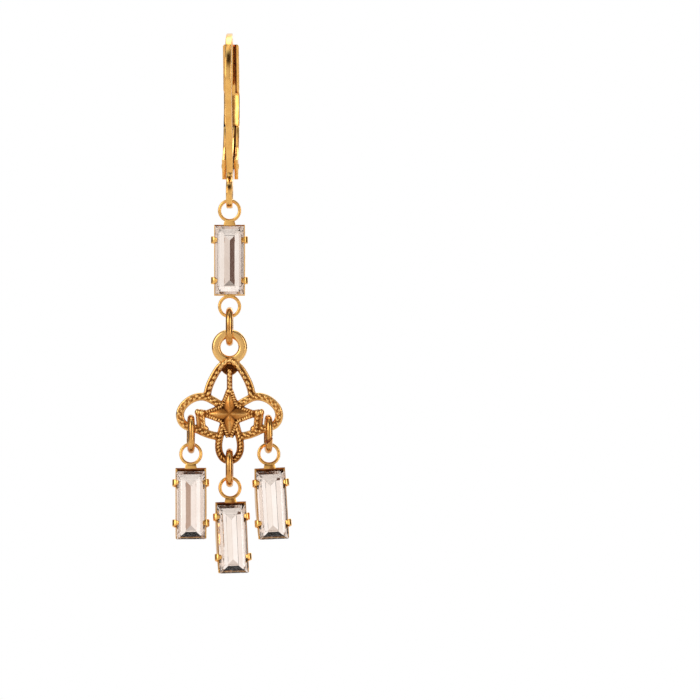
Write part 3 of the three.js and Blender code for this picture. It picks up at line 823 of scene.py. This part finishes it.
def claw(side, up):
    wall = CUP_WIDE / 2
    edge = STONE_WIDE / 2
    marks = [(wall - 0.1, 0.5), (wall + 0.12, 0.2), (wall + 0.2, -0.1), (wall + 0.18, -0.38)]
    marks += [(wall + 0.02, -0.56), (edge - 0.12, -0.6), (edge - 0.22, -0.66)]
    path = smooth_path([Vector((side * x, y, up)) for x, y in marks], 0.1)
    last = len(path) - 1
    tips = [max(0.0, (i / last - TIP_FROM) / (1 - TIP_FROM)) for i in range(last + 1)]
    sizes = [(1 - 0.3 * tip, 1 - 0.55 * tip**2) for tip in tips]
    section = soft_box(CLAW_THICK, CLAW_WIDE, CLAW_CORNER)
    return solid("claw", satin_gold, sweep, section, path, UP, sizes)


# %% [markdown]
# The strip ends in a ring, which a punch cuts and a second tool rounds. The ring is spun, and the neck is a
# small plate that widens to the cup. Trough, rings, necks and claws then become one object. They overlap
# inside the metal, where nobody sees it, and keep cleaner faces than a Boolean would leave.

# %% Add the rings and put a cup together


def end_ring(ring_up, cup_end):
    """A ring and the neck that joins it to the cup's end, as two solids."""
    towards = math.copysign(1, cup_end - ring_up)
    shape = (Vector((0, 0, ring_up)), RING_INNER, RING_OUTER, RING_THICK, FRONT, 0.12)
    ring = solid("ring", satin_gold, flat_ring, *shape)
    start = ring_up + towards * (RING_INNER + 0.16)
    end = cup_end + towards * 0.08
    marks = [(-0.5, start), (0.5, start), (0.62, end), (-0.62, end)]
    outline = [Vector((x, 0, z)) for x, z in marks]
    return [ring, solid("neck", satin_gold, plate, outline, FRONT, RING_THICK - 0.02)]


def cup(name, with_lower_ring):
    parts = [trough(not with_lower_ring)] + end_ring(-RING_INNER, CUP_TOP)
    if with_lower_ring:
        parts += end_ring(LOWER_RING, CUP_BOTTOM)
    for side in (-1, 1):
        parts.append(claw(side, CUP_MIDDLE + CLAW_SPACING / 2))
        parts.append(claw(side, CUP_MIDDLE - CLAW_SPACING / 2))
    return joined(name, parts, [satin_gold, painted_shade_brass])


# %% [markdown]
# ## Baguette stones
# A baguette is step cut. From the front it shows a long table with four sloping facets, and behind it two
# steps run down to a keel. A face is extruded and scaled for each step, as a cutter grinds one step after
# the other. The back facets get the foil, and the front edges a fine bevel that catches the light.

# %% Build a stone
CROWN_NARROWER = 1.0
CROWN_SHORTER = 1.56
CROWN_ROUND = 0.045
PAVILION_STEPS = [(0.36, 0.72), (0.03, 0.79), (0.13, 1.82), (0.03, 1.89), (0.065, 2.84)]


def size_along(verts, axis):
    places = [v.co[axis] for v in verts]
    return max(places) - min(places)


def grow_step(bm, face, depth, narrower, shorter):
    """Extrudes a face along Y by depth, to a face that is this much smaller than the stone."""
    grown = bmesh.ops.extrude_face_region(bm, geom=[face])["geom"]
    verts = of_kind(bmesh.types.BMVert, grown)
    new_face = of_kind(bmesh.types.BMFace, grown)[0]
    bmesh.ops.delete(bm, geom=[face], context="FACES_ONLY")
    wide = (STONE_WIDE - narrower) / size_along(verts, 0)
    long = (STONE_LONG - shorter) / size_along(verts, 2)
    bmesh.ops.scale(bm, vec=Vector((wide, 1, long)), verts=verts)
    bmesh.ops.translate(bm, vec=Vector((0, depth, 0)), verts=verts)
    return new_face


def stone(name, shift):
    bm = bmesh.new()
    bmesh.ops.create_cube(bm, size=1.0)
    girdle = Vector((STONE_WIDE, GIRDLE_BACK - GIRDLE_FRONT, STONE_LONG))
    bmesh.ops.scale(bm, vec=girdle, verts=bm.verts)
    bm.normal_update()
    front = next(f for f in bm.faces if f.normal.y < -0.9)
    back = next(f for f in bm.faces if f.normal.y > 0.9)
    grow_step(bm, front, TABLE - GIRDLE_FRONT, CROWN_NARROWER, CROWN_SHORTER)
    for depth, smaller in PAVILION_STEPS:
        back = grow_step(bm, back, depth, smaller, smaller)
    middle = Vector((0, (GIRDLE_BACK + GIRDLE_FRONT) / 2, CUP_MIDDLE - shift))
    bmesh.ops.translate(bm, vec=middle, verts=bm.verts)
    crown = [e for e in bm.edges if all(v.co.y < GIRDLE_FRONT + 0.01 for v in e.verts)]
    bevel_edges(bm, crown, CROWN_ROUND, 1)
    piece = loose_object(name, bm, crystal, foil)
    for face in piece.data.polygons:
        face.material_index = int(face.center.y > GIRDLE_BACK + 0.01)
    return piece


# %% [markdown]
# ## Oval jump rings
# A jump ring is round wire coiled on an oval bar and sawn through once. The saw leaves a hairline gap, and
# the ring is closed by twisting until the ends nearly meet. The sweep leaves that gap open, and a dark brown
# core inside the wire fills it with painted shade.

# %% Build a jump ring
LINK_WIRE = 0.7
LINK_WIDE = 3.0
LINK_LONG = 3.91
SAW_CUT = 0.11
CORE_INSET = 0.05


def jump_ring(name, cut_turn, slant):
    """An oval ring in the side plane, sawn at the given part of a turn from the top."""
    radius = (LINK_WIDE - LINK_WIRE) / 2
    stretch = (LINK_LONG - LINK_WIDE) / 2
    gap = SAW_CUT / (2 * math.pi * radius)
    steps = 64
    path = []
    for i in range(steps + 1):
        angle = 2 * math.pi * (cut_turn + gap / 2 + (1 - gap) * i / steps)
        straight = max(-1.0, min(1.0, 6 * math.cos(angle)))
        up = radius * math.cos(angle) + stretch * straight
        path.append(Vector((0, -radius * math.sin(angle), up)))
    bm = bmesh.new()
    sweep(bm, round_section(LINK_WIRE / 2, 20), path, RIGHT)
    wire_faces = len(bm.faces)
    core = round_section(LINK_WIRE / 2 - CORE_INSET, 16)
    sweep(bm, core, path[-7:] + path[:7], RIGHT)
    bm.faces.ensure_lookup_table()
    # The core's faces get the dark brown finish: painted shade in the saw gap.
    for face in bm.faces[wire_faces:]:
        face.material_index = 1
    along = (path[1] - path[-2]).normalized()
    lean = math.tan(math.radians(slant))
    for v in bm.verts:
        near = max(0.0, 1 - (v.co - path[0]).length / 1.2)
        v.co += along * v.co.x * lean * near
    return loose_object(name, bm, ring_gold, painted_shade_brass)


# %% [markdown]
# ## The cast centre
# The real one is carved in wax and cast. Cords of two strands lie on flat bands, they cross under the
# ring, and a star with four leaves sits in the middle. The bands' middle lines are written here as shares
# of the casting's half width and of its drop, so that the whole drawing stretches with it.

# %% Write down the casting's bands
CENTRE_HALF = 4.97
CENTRE_DROP = 11.14
CENTRE_UP = -30.8
CAST_BACK = 0.5
CAST_LEDGE = 0.3
STAR_UP = CENTRE_UP - 0.601 * CENTRE_DROP
STAR_HALF = 2.45
PETAL = [(0.07, 0.13), (0.222, 0.195), (0.346, 0.287), (0.418, 0.364), (0.456, 0.44)]
SIDE_LOOP = [
    *[(0.17, 0.524), (0.32, 0.484), (0.46, 0.453), (0.6, 0.446), (0.74, 0.463)],
    *[(0.86, 0.497), (0.96, 0.548), (1.0, 0.61), (0.965, 0.67), (0.88, 0.708)],
    *[(0.77, 0.724), (0.64, 0.742), (0.52, 0.767), (0.39, 0.788), (0.22, 0.805)],
]
LOWER_LOOP = [(0.125, 0.69), (0.19, 0.8), (0.22, 0.88), (0.2, 0.95), (0.12, 1.003), (0, 1.022)]
SCROLL = [(0.6, 0.585), (0.585, 0.645), (0.575, 0.695), (0.56, 0.74)]
CROSSING = [
    *[(-0.199, 0.19), (-0.119, 0.151), (-0.07, 0.127), (0.01, 0.118)],
    *[(0.07, 0.127), (0.119, 0.147), (0.191, 0.19)],
]
STAR_SIDE = [(0.06, 0.96), (0.21, 0.56), (0.32, 0.32), (0.56, 0.21), (0.96, 0.06)]


def centre_point(across, down, side=1):
    """A point of the casting, by its shares of the half width and of the drop."""
    return front_point(side * across * CENTRE_HALF, CENTRE_UP - down * CENTRE_DROP)


def casting_points(rows, side):
    return [centre_point(across, down, side) for across, down in rows]


print("bands are drawn over", 2 * CENTRE_HALF, "by", CENTRE_DROP, "mm")

# %% [markdown]
# From the front a cord of two strands is a row of slanted beads, one for each visible turn. A twisted sweep
# gives such ridges too, but too even. Separate squeezed spheres can each be a little off in size and
# slant, as a wax carver's are. The random numbers have a seed, so every run carves the same.

# %% Carve bands and beads
rng = random.Random(7)


def shifted(path, amount):
    """The path, moved sideways in the front plane."""
    last = len(path) - 1
    moved = []
    for i, point in enumerate(path):
        along = (path[min(i + 1, last)] - path[max(i - 1, 0)]).normalized()
        moved.append(point + along.cross(FRONT) * amount)
    return moved


def ball(bm, around, up, place):
    """Adds a sphere of radius 1, with so many segments, and moves and squeezes it into place."""
    verts = bmesh.ops.create_uvsphere(bm, u_segments=around, v_segments=up, radius=1.0)["verts"]
    bmesh.ops.transform(bm, matrix=place, verts=verts)


def beads(bm, marks, spacing, size, slant, lift=0.0, aside=0.0, stagger=0.0):
    """A row of slanted beads, the visible turns of a two-strand cord. size is along, across, out."""
    path = shifted(smooth_path(marks, 0.04), aside)
    count = max(2, round(path_length(path) / spacing))
    for i in range(count):
        at = round((i + 0.5) / count * (len(path) - 1))
        along = (path[min(at + 2, len(path) - 1)] - path[max(at - 2, 0)]).normalized()
        across = along.cross(FRONT)
        place = Matrix((across, FRONT, along)).transposed().to_4x4()
        side = stagger * (-1) ** i + rng.uniform(-0.02, 0.02)
        place.translation = path[at] + across * side + FRONT * (CAST_LEDGE + lift)
        turn = Matrix.Rotation(math.radians(slant + rng.uniform(-7, 7)), 4, "Y")
        grow = rng.uniform(0.9, 1.1)
        shape = Matrix.Diagonal((size[1] * grow, size[2], size[0] * grow, 1))
        ball(bm, 12, 8, place @ turn @ shape)


def ledge(bm, marks, wide, lower=0.0):
    """The flat band that carries a cord."""
    thick = CAST_BACK + CAST_LEDGE - lower
    middle = FRONT * (CAST_LEDGE - lower - thick / 2)
    path = [point + middle for point in smooth_path(marks, 0.18)]
    sweep(bm, soft_box(wide, thick, 0.15), path, FRONT)


# %% [markdown]
# The star has a sunk floor, a beaded border with a concave side in each quarter, and four domed leaves. A
# leaf is a sphere that is squeezed towards its point and given a soft ridge. Knobs close the places
# where bands end.

# %% Carve the star and the knobs
STAR_SUNK = 0.12


def quarter_turn(quarter):
    return Matrix.Rotation(quarter * math.pi / 2, 4, "Y")


def star_leaf(bm, quarter):
    """One pointed, domed leaf of the star, from a squeezed sphere that starts past the middle."""
    reach = 0.86 * STAR_HALF
    made = bmesh.ops.create_uvsphere(bm, u_segments=24, v_segments=18, radius=1.0)
    for v in made["verts"]:
        along = v.co.z
        narrow = 1 - 0.42 * max(0.0, along) ** 2 - 0.12 * along
        out = v.co.y * (1 - 0.3 * abs(v.co.x))
        rise = reach * (0.36 + 0.66 * along)
        v.co = Vector((0.58 * narrow * v.co.x, 0.36 * narrow * out, rise))
    place = Matrix.Translation(front_point(0, STAR_UP) + FRONT * (CAST_LEDGE - 0.06))
    bmesh.ops.transform(bm, matrix=place @ quarter_turn(quarter), verts=made["verts"])


def star_border(quarter):
    turn = quarter_turn(quarter)
    spots = [Vector((x * STAR_HALF, 0, z * STAR_HALF)) for x, z in STAR_SIDE]
    return [front_point(0, STAR_UP) + turn @ spot for spot in spots]


def star_plate(bm):
    """The star's floor, sunk under the leaves and the border."""
    marks = [p for quarter in range(4) for p in smooth_path(star_border(quarter), 0.3)]
    thick = CAST_LEDGE - STAR_SUNK + CAST_BACK
    middle = FRONT * (CAST_LEDGE - STAR_SUNK - thick / 2)
    plate(bm, [p + middle for p in marks], FRONT, thick)


def knob(bm, spot, wide, tall, deep):
    ball(bm, 20, 12, Matrix.Translation(spot) @ Matrix.Diagonal((wide, deep, tall, 1)))


# %% [markdown]
# All of it goes into one mesh, one form through the other. A voxel remesh then melts it to a single skin, as
# casting does, and a little smoothing rounds the seams like polishing. Its voxels are 0.05 mm, about a
# third of the smallest beads' width.

# %% Put the casting together
TOP_RING = {"inner": 0.88, "outer": 1.78, "thickness": 0.86, "corner": 0.3}
VOXEL = 0.052


def carve_middle(bm):
    """The top ring, the star, the bar between them, and the lower loop."""
    flat_ring(bm, front_point(0, CENTRE_UP), axis=FRONT, steps=72, rounding=5, **TOP_RING)
    star_plate(bm)
    for quarter in range(4):
        star_leaf(bm, quarter)
        border = star_border(quarter)
        ledge(bm, border, 0.44)
        beads(bm, border, 0.25, (0.085, 0.17, 0.12), 15, lift=0.03)
    bar_top = front_point(0, CENTRE_UP - 2.2)
    bar_end = front_point(0, STAR_UP + 0.85 * STAR_HALF)
    bar = [bar_top, (bar_top + bar_end) / 2, bar_end]
    ledge(bm, bar, 0.56, 0.06)
    beads(bm, bar, 0.4, (0.25, 0.17, 0.2), -38)
    knob(bm, front_point(0, CENTRE_UP - 2.1) - FRONT * 0.32, 0.85, 0.75, 0.36)
    mirrored = [(-across, down) for across, down in LOWER_LOOP]
    lower = casting_points(mirrored + LOWER_LOOP[-2::-1], 1)
    ledge(bm, lower, 0.72, 0.02)
    beads(bm, lower, 0.36, (0.24, 0.14, 0.14), 42)


def carve_side(bm, side):
    """A petal, a side loop, its scroll and the tie to the star."""
    petal = casting_points(PETAL, side)
    ledge(bm, petal, 0.76, 0.06)
    beads(bm, petal, 0.56, (0.3, 0.18, 0.24), -24 * side, lift=0.02, aside=0.1 * side)
    loop = casting_points(SIDE_LOOP, side)
    ledge(bm, loop, 0.8)
    beads(bm, loop, 0.31, (0.17, 0.13, 0.11), 40 * side, stagger=0.09)
    scroll = casting_points(SCROLL, side)
    ledge(bm, scroll, 0.9)
    beads(bm, scroll, 0.4, (0.2, 0.16, 0.16), 40 * side, aside=0.12 * side)
    curl = scroll[0]
    tip = front_point(side * 0.84 * STAR_HALF, STAR_UP)
    ledge(bm, [tip, (tip + curl) / 2, curl], 0.62, 0.08)
    knob(bm, curl + RIGHT * side * 0.22 + FRONT * 0.1, 0.3, 0.34, 0.36)
    knob(bm, curl - RIGHT * side * 0.22 + FRONT * 0.1 - UP * 0.04, 0.32, 0.3, 0.36)
    knob(bm, centre_point(0.5, 0.735, side), 0.42, 0.36, 0.28)


def casting():
    bm = bmesh.new()
    carve_middle(bm)
    for side in (-1, 1):
        carve_side(bm, side)
    crossing = casting_points(CROSSING, 1)
    rope = [p + FRONT * 0.36 for p in smooth_path(crossing, 0.1)]
    sweep(bm, round_section(0.2, 12), rope, FRONT)
    beads(bm, crossing, 0.44, (0.27, 0.2, 0.2), 28, lift=0.18)
    piece = loose_object("openwork", bm, cast_gold)
    melt = piece.modifiers.new("melt", "REMESH")
    melt.mode = "VOXEL"
    melt.voxel_size = VOXEL
    melt.adaptivity = 0.0
    ease = piece.modifiers.new("ease", "SMOOTH")
    ease.factor = 0.5
    ease.iterations = 2
    return applied(piece)


# %% [markdown]
# Patina stays where a cloth doesn't reach, so each vertex needs to know if it lies in a hollow. Smoothing a
# copy of the mesh fills the hollows and wears the ridges, so the way a vertex moves tells which it is. The
# openings' flanks take some patina too, as the cloth rides over them; the foot and the star are made darker.

# %% Find the hollows
SMOOTH_ROUNDS = 24
FULL_RISE = 0.05
RING_FOOT = CENTRE_UP - 1.7


def mark_hollows(piece):
    """Stores 0 for a ridge, 0.5 for a level place and 1 for a hollow at each vertex."""
    bm = bmesh.new()
    bm.from_mesh(piece.data)
    bm.normal_update()
    before = [(v.co.copy(), v.normal.copy()) for v in bm.verts]
    ways = {"use_axis_x": True, "use_axis_y": True, "use_axis_z": True}
    for _ in range(SMOOTH_ROUNDS):
        bmesh.ops.smooth_vert(bm, verts=bm.verts, factor=0.5, **ways)
    values = []
    for v, (place, normal) in zip(bm.verts, before):
        rise = (v.co - place).dot(normal)
        forward = EYE_Y - place.y
        flank = max(0.0, 1 - abs(forward + 0.02) / 0.26)
        sunk = min(1.0, max(0.0, (0.16 - forward) / 0.14)) * max(0.0, -normal.y)
        below_ring = place.z < RING_FOOT
        # The casting gets darker towards its foot and round the star, and its top ring a little lighter.
        foot = min(0.3, max(0.0, (STAR_UP - 1.2 - place.z) * 0.11))
        extra_brown = (0.45 * flank * (1 - abs(normal.y)) + 0.4 * sunk + foot) * below_ring
        from_star = (place - front_point(0, STAR_UP)).length
        extra_brown += max(0.0, 0.24 - 0.1 * from_star)
        worn = 0.0 if below_ring else 0.2
        values.append(min(1.0, max(0.0, 0.5 + rise / FULL_RISE / 2 + extra_brown - worn)))
    bm.free()
    layer = piece.data.attributes.new("hollow", "FLOAT", "POINT")
    layer.data.foreach_set("value", values)
    ranked = sorted(values)
    shares = [round(ranked[int(q * (len(ranked) - 1))], 2) for q in (0.1, 0.3, 0.5, 0.7, 0.9)]
    print("hollow at 10, 30, 50, 70 and 90 percent of the vertices:", shares)


openwork = casting()
mark_hollows(openwork)
finish_piece(openwork, "chandelier", "chandelier_centre", sharp=80)

# %% [markdown]
# ## Hang the drops
# Each cup and stone is built in its own frame, whose origin is the inner top of the cup's ring, where it
# hangs. Placing it is one move of its mesh. The three small drops hang as the photograph shows them: feet
# kicked forward, leaning a little, and two of them turned.

# %% Place cups, stones and rings
UPPER_HANG = -16.315
MAIN_RING_UP = -28.755
LINK_ABOVE = 1.17
STONE_SHIFT = 0.24
SAW_SLANT = -52
DROPS = [
    {"name": "left", "x": -3.8766, "hang": -40.6715, "pose": (-9, -0.5, 0), "link_yaw": 6, "saw": 0.6},
    {"name": "middle", "x": 0.0, "hang": -44.056, "pose": (-9, -1.5, 9), "link_yaw": 0, "saw": 0.62},
    {"name": "right", "x": 3.8766, "hang": -40.6715, "pose": (-9, -2.3, 9), "link_yaw": 7, "saw": 0.275},
]


def placed(piece, across, up, pitch=0.0, roll=0.0, yaw=0.0):
    turn = Matrix.Rotation(math.radians(yaw), 4, "Z")
    turn @= Matrix.Rotation(math.radians(roll), 4, "Y")
    turn @= Matrix.Rotation(math.radians(pitch), 4, "X")
    piece.data.transform(Matrix.Translation(front_point(across, up)) @ turn)
    return piece


upper_cup = placed(cup("claw_cup_upper", True), 0, UPPER_HANG)
finish_piece(upper_cup, "upper_drop", "upper_setting", edge=0.03)
upper_stone = placed(stone("baguette_upper", 0.0), 0, UPPER_HANG)
finish_piece(upper_stone, "upper_drop", "upper_stone", sharp=5)
main_ring = placed(jump_ring("jump_ring_upper", 0.66, 10), 0, MAIN_RING_UP)
finish_piece(main_ring, "upper_drop", "main_link")

for drop in DROPS:
    name, across, hang = drop["name"], drop["x"], drop["hang"]
    ring = jump_ring("jump_ring_" + name, drop["saw"], SAW_SLANT)
    placed(ring, across, hang + LINK_ABOVE, yaw=drop["link_yaw"])
    finish_piece(ring, "chandelier", "link_" + name)
    holder = placed(cup("claw_cup_" + name, False), across, hang, *drop["pose"])
    finish_piece(holder, "chandelier", "setting_" + name, edge=0.03)
    gem = placed(stone("baguette_" + name, STONE_SHIFT), across, hang, *drop["pose"])
    finish_piece(gem, "chandelier", "stone_" + name, sharp=5)

# %% [markdown]
# ## Floor, light and camera
# The earring hangs in the air, as in a catalogue picture. A round matt board lies well below it, so that the
# metal has something to reflect from there and other views have a ground.

# %% Lay the floor
FLOOR_UP = -100.0


def floor_finish():
    """Uncoated board: matt, off-white, with a grain that only shows in low light."""
    material, tree, shader, place = new_finish("matt white board", roughness=0.8)
    grain = add_node(tree, "ShaderNodeTexNoise", place, {"Scale": blotches(1.1), "Detail": 3.0})
    height = {"Strength": 0.05, "Distance": 0.0001}
    relief = add_node(tree, "ShaderNodeBump", {"Height": grain}, height)
    shader.inputs["Base Color"].default_value = linear("#F4F2F0")
    link(tree, shader, {"Normal": relief})
    return material


bm = bmesh.new()
bmesh.ops.create_circle(bm, cap_ends=True, segments=96, radius=500)
bmesh.ops.translate(bm, vec=UP * FLOOR_UP, verts=bm.verts)
floor = loose_object("floor", bm, floor_finish())
floor.data.transform(Matrix.Scale(MM, 4))
floor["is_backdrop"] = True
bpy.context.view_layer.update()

# %% [markdown]
# Jewellery is photographed in a tent of white cloth: light comes from everywhere, and the metal gets its
# drawing from the few darker places. Four soft panels stand round the piece. They aren't seen through the
# crystal, where they would burn out to flat white bars.

# %% Set up the panels


def aim(holder, target):
    holder.rotation_euler = (target - holder.location).to_track_quat("-Z", "Y").to_euler()


def panel(name, place, size, watts, tint):
    light = bpy.data.lights.new(name, "AREA")
    light.shape = "RECTANGLE"
    light.size, light.size_y = size
    light.energy = watts
    light.color = linear(tint)[:3]
    holder = bpy.data.objects.new(name, light)
    holder.location = place
    holder.visible_transmission = False
    bpy.context.scene.collection.objects.link(holder)
    aim(holder, Vector((0, 0, -0.03)))


panel("soft box left", Vector((-0.5, -0.55, 0.3)), (0.4, 0.6), 2.0, "#FFF8EE")
panel("soft box right", Vector((0.52, -0.52, 0.05)), (0.22, 0.6), 1.0, "#FFFBF4")
panel("overhead", Vector((0.0, 0.25, 0.7)), (0.5, 0.4), 1.6, "#FFFFFF")
panel("back strip", Vector((0.3, 0.6, 0.15)), (0.2, 0.6), 0.8, "#F2F6FF")

# %% [markdown]
# The tent itself is the world. Two angles say where a ray looks: how far round from the camera's side, and
# how far up over the front. A colour ramp over each gives the cloth its bright and dim parts. The crystal
# gets a paler tent of its own, because stones in the photograph are lit by everything around them, while
# the metal shows mostly what stands in front.

# %% Write down the tent's tones
TENT = {
    "metal, around": [
        *[(-175, "#F8F8F8"), (-145, "#F8F8F8"), (-118, "#68625C"), (-84, "#68625C")],
        *[(-62, "#EDEDED"), (-34, "#FFFFFF"), (-14, "#F2F2F2"), (2, "#E6E4E2"), (14, "#DAD7D4")],
        *[(19, "#8A6A52"), (28, "#8A6A52"), (33, "#F2F2F2"), (56, "#F6F6F6")],
        *[(78, "#605852"), (116, "#605852"), (145, "#F8F8F8"), (175, "#F8F8F8")],
    ],
    "metal, over": [
        *[(-170, "#C4C0BC"), (-60, "#B8B4B0"), (-20, "#CFCFCF"), (16, "#D2D2D2"), (34, "#B4B0AC")],
        *[(60, "#A4A8AC"), (70, "#B9CCDA"), (80, "#FFFFFF"), (125, "#FFFFFF"), (170, "#D8D8D8")],
    ],
    "crystal, around": [
        *[(-120, "#D8D0CA"), (-62, "#FFFFFF"), (-44, "#FFFCFA"), (-20, "#E8E2DE")],
        *[(-10, "#FFFFFF"), (-3, "#F0EAE6"), (10, "#E6DED8"), (28, "#DED4CC")],
        *[(38, "#F4F0EC"), (70, "#FFFFFF"), (120, "#D8D0CA")],
    ],
    "crystal, over": [
        *[(-120, "#C8C4C0"), (-60, "#E2E2E2"), (-24, "#EEEEEE"), (-6, "#D9D9D9"), (6, "#D9D9D9")],
        *[(16, "#E4E4E4"), (32, "#DFDFDF"), (42, "#DADADA"), (48, "#A8A29C")],
        *[(54, "#DCDCDC"), (64, "#E6E6E6"), (74, "#FFFFFF"), (130, "#FFFFFF")],
    ],
}
TENT_STRENGTH = {"metal": 1.45, "crystal": 1.6}

# %% [markdown]
# Single dark things in the room are patches on the tent, with soft edges. The photographer's camera on its
# boom hangs high in front, and the metal's crown reflects it. The stones show the gap between two cloths
# and the table's edge, in long brown steps. A patch is bounded by two ramps, one for each angle.

# %% Write down the dark patches
PATCHES = [
    {"tent": "metal", "tone": "#1C1410", "around": (-22, -12, 12, 22), "over": (22, 34, 60, 70)},
    {"tent": "crystal", "tone": "#4A2C1C", "around": (-40, -36, -18, -14), "over": (-16, -10, 10, 14)},
    {"tent": "crystal", "tone": "#4A3E36", "around": (-14, -9, 9, 14), "over": (22, 27, 38, 44)},
    {"tent": "crystal", "tone": "#8E705C", "around": (18, 21, 26, 29), "over": (14, 18, 40, 46)},
]
PATCH_TONES = ("#000000", "#FFFFFF", "#FFFFFF", "#000000")

# %% [markdown]
# The nodes turn a ray's direction into those two angles and look the tones up. The arc tangent of two sides
# gives an angle over the full turn, so a ramp's two ends meet straight behind the earring.

# %% Read a ray's angles


def ray_angles(tree):
    """How far a ray looks round from the camera's side and up over the front, as shares of a turn."""
    place = add_node(tree, "ShaderNodeTexCoord").outputs["Generated"]
    x, y, z = add_node(tree, "ShaderNodeSeparateXYZ", {"Vector": place}).outputs
    toward = add_node(tree, "ShaderNodeMath", {0: y}, {1: -1.0}, operation="MULTIPLY")
    span = {"From Min": -math.pi, "From Max": math.pi, "To Min": 0.0, "To Max": 1.0}
    angles = {}
    for name, side in (("around", x), ("over", z)):
        angle = add_node(tree, "ShaderNodeMath", {0: side, 1: toward}, operation="ARCTAN2")
        angles[name] = add_node(tree, "ShaderNodeMapRange", {"Value": angle}, span)
    return angles


def as_shares(stops):
    """A ramp's stops, moved from degrees off the camera's side to shares of a full turn."""
    return [(0.5 + degrees / 360, colour) for degrees, colour in stops]


# %% [markdown]
# Cloth and patches are layered with mix nodes. The light path tells a ray that comes out of crystal from
# one that comes off metal, and each of them is sent to its own room. A ray that comes straight from the
# render camera sees plain white, as in the catalogue photograph.

# %% Build the tent


def cloth(tree, angles, room):
    """The colour of one tent, with its dark patches laid over it."""
    tones = {}
    for way, angle in angles.items():
        stops = as_shares(TENT[f"{room}, {way}"])
        tones[way] = add_node(tree, "ShaderNodeValToRGB", {"Fac": angle}, stops=stops)
    both = {6: tones["around"], 7: tones["over"]}
    kind = {"data_type": "RGBA", "blend_type": "MULTIPLY"}
    colour = add_node(tree, "ShaderNodeMix", both, {0: 1.0}, **kind).outputs[2]
    for patch in [patch for patch in PATCHES if patch["tent"] == room]:
        for way, angle in angles.items():
            stops = as_shares(zip(patch[way], PATCH_TONES))
            tones[way] = add_node(tree, "ShaderNodeValToRGB", {"Fac": angle}, stops=stops)
        both = {0: tones["around"], 1: tones["over"]}
        shape = add_node(tree, "ShaderNodeMath", both, operation="MULTIPLY")
        layers, tone = {0: shape, 6: colour}, {7: linear(patch["tone"])}
        colour = add_node(tree, "ShaderNodeMix", layers, tone, data_type="RGBA").outputs[2]
    return colour


def studio_world():
    world = bpy.data.worlds.new("white tent")
    bpy.context.scene.world = world
    world.use_nodes = True
    tree = world.node_tree
    angles = ray_angles(tree)
    rooms = {}
    for name, strength in TENT_STRENGTH.items():
        colour = {"Color": cloth(tree, angles, name)}
        rooms[name] = add_node(tree, "ShaderNodeBackground", colour, {"Strength": strength})
    backdrop = tree.nodes["Background"]
    backdrop.inputs["Color"].default_value = linear("#FFFFFF")
    backdrop.inputs["Strength"].default_value = 1.0
    seen = add_node(tree, "ShaderNodeLightPath").outputs
    ways = {0: seen["Is Transmission Ray"], 1: rooms["metal"], 2: rooms["crystal"]}
    lit = add_node(tree, "ShaderNodeMixShader", ways)
    ways = {0: seen["Is Camera Ray"], 1: lit, 2: backdrop}
    choice = add_node(tree, "ShaderNodeMixShader", ways)
    link(tree, tree.nodes["World Output"], {"Surface": choice})
    print("the tent has", len(tree.nodes), "nodes")


studio_world()

# %% [markdown]
# A catalogue photograph of jewellery is taken with a long lens from well away, so that near and far pieces
# keep their sizes. The camera stands 0.6 m in front and a hair to the right, and its lens takes in 70 mm
# there. It aims at the point that the middle of the picture shows.

# %% Set the camera
PHOTO_PIXELS = 700
PIXELS_PER_MM = 10.0
CENTRE_PIXEL = (229.5, 39.0)
CAMERA_DISTANCE = 0.6
CAMERA_YAW = math.radians(1.1)
SENSOR = 36.0

half = PHOTO_PIXELS / 2
right_of = (half - CENTRE_PIXEL[0]) / PIXELS_PER_MM
above = (CENTRE_PIXEL[1] - half) / PIXELS_PER_MM
target = Vector((right_of * MM, EYE_Y * MM, above * MM))
camera = bpy.data.objects.new("camera", bpy.data.cameras.new("camera"))
camera.data.sensor_width = SENSOR
camera.data.lens = SENSOR * CAMERA_DISTANCE / (PHOTO_PIXELS / PIXELS_PER_MM * MM)
camera.data.clip_start = 0.01
away = Vector((math.sin(CAMERA_YAW), -math.cos(CAMERA_YAW), 0))
camera.location = target + CAMERA_DISTANCE * away
bpy.context.scene.collection.objects.link(camera)
aim(camera, target)
bpy.context.scene.camera = camera
bpy.context.scene.view_settings.view_transform = "Standard"
bpy.context.scene.view_settings.look = "None"

# %% [markdown]
# Last, the box of the dressed earring is set beside the box of the CAD model. They should agree within a few
# hundredths of a millimetre.

# %% Compare the size with the CAD model
visual_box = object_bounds()
for side, cad_side, visual_side in zip(("lowest", "highest"), cad_box, visual_box):
    gaps = [round((b - a) / MM, 3) for a, b in zip(cad_side, visual_side)]
    print(side, "corner differs by", gaps, "mm")
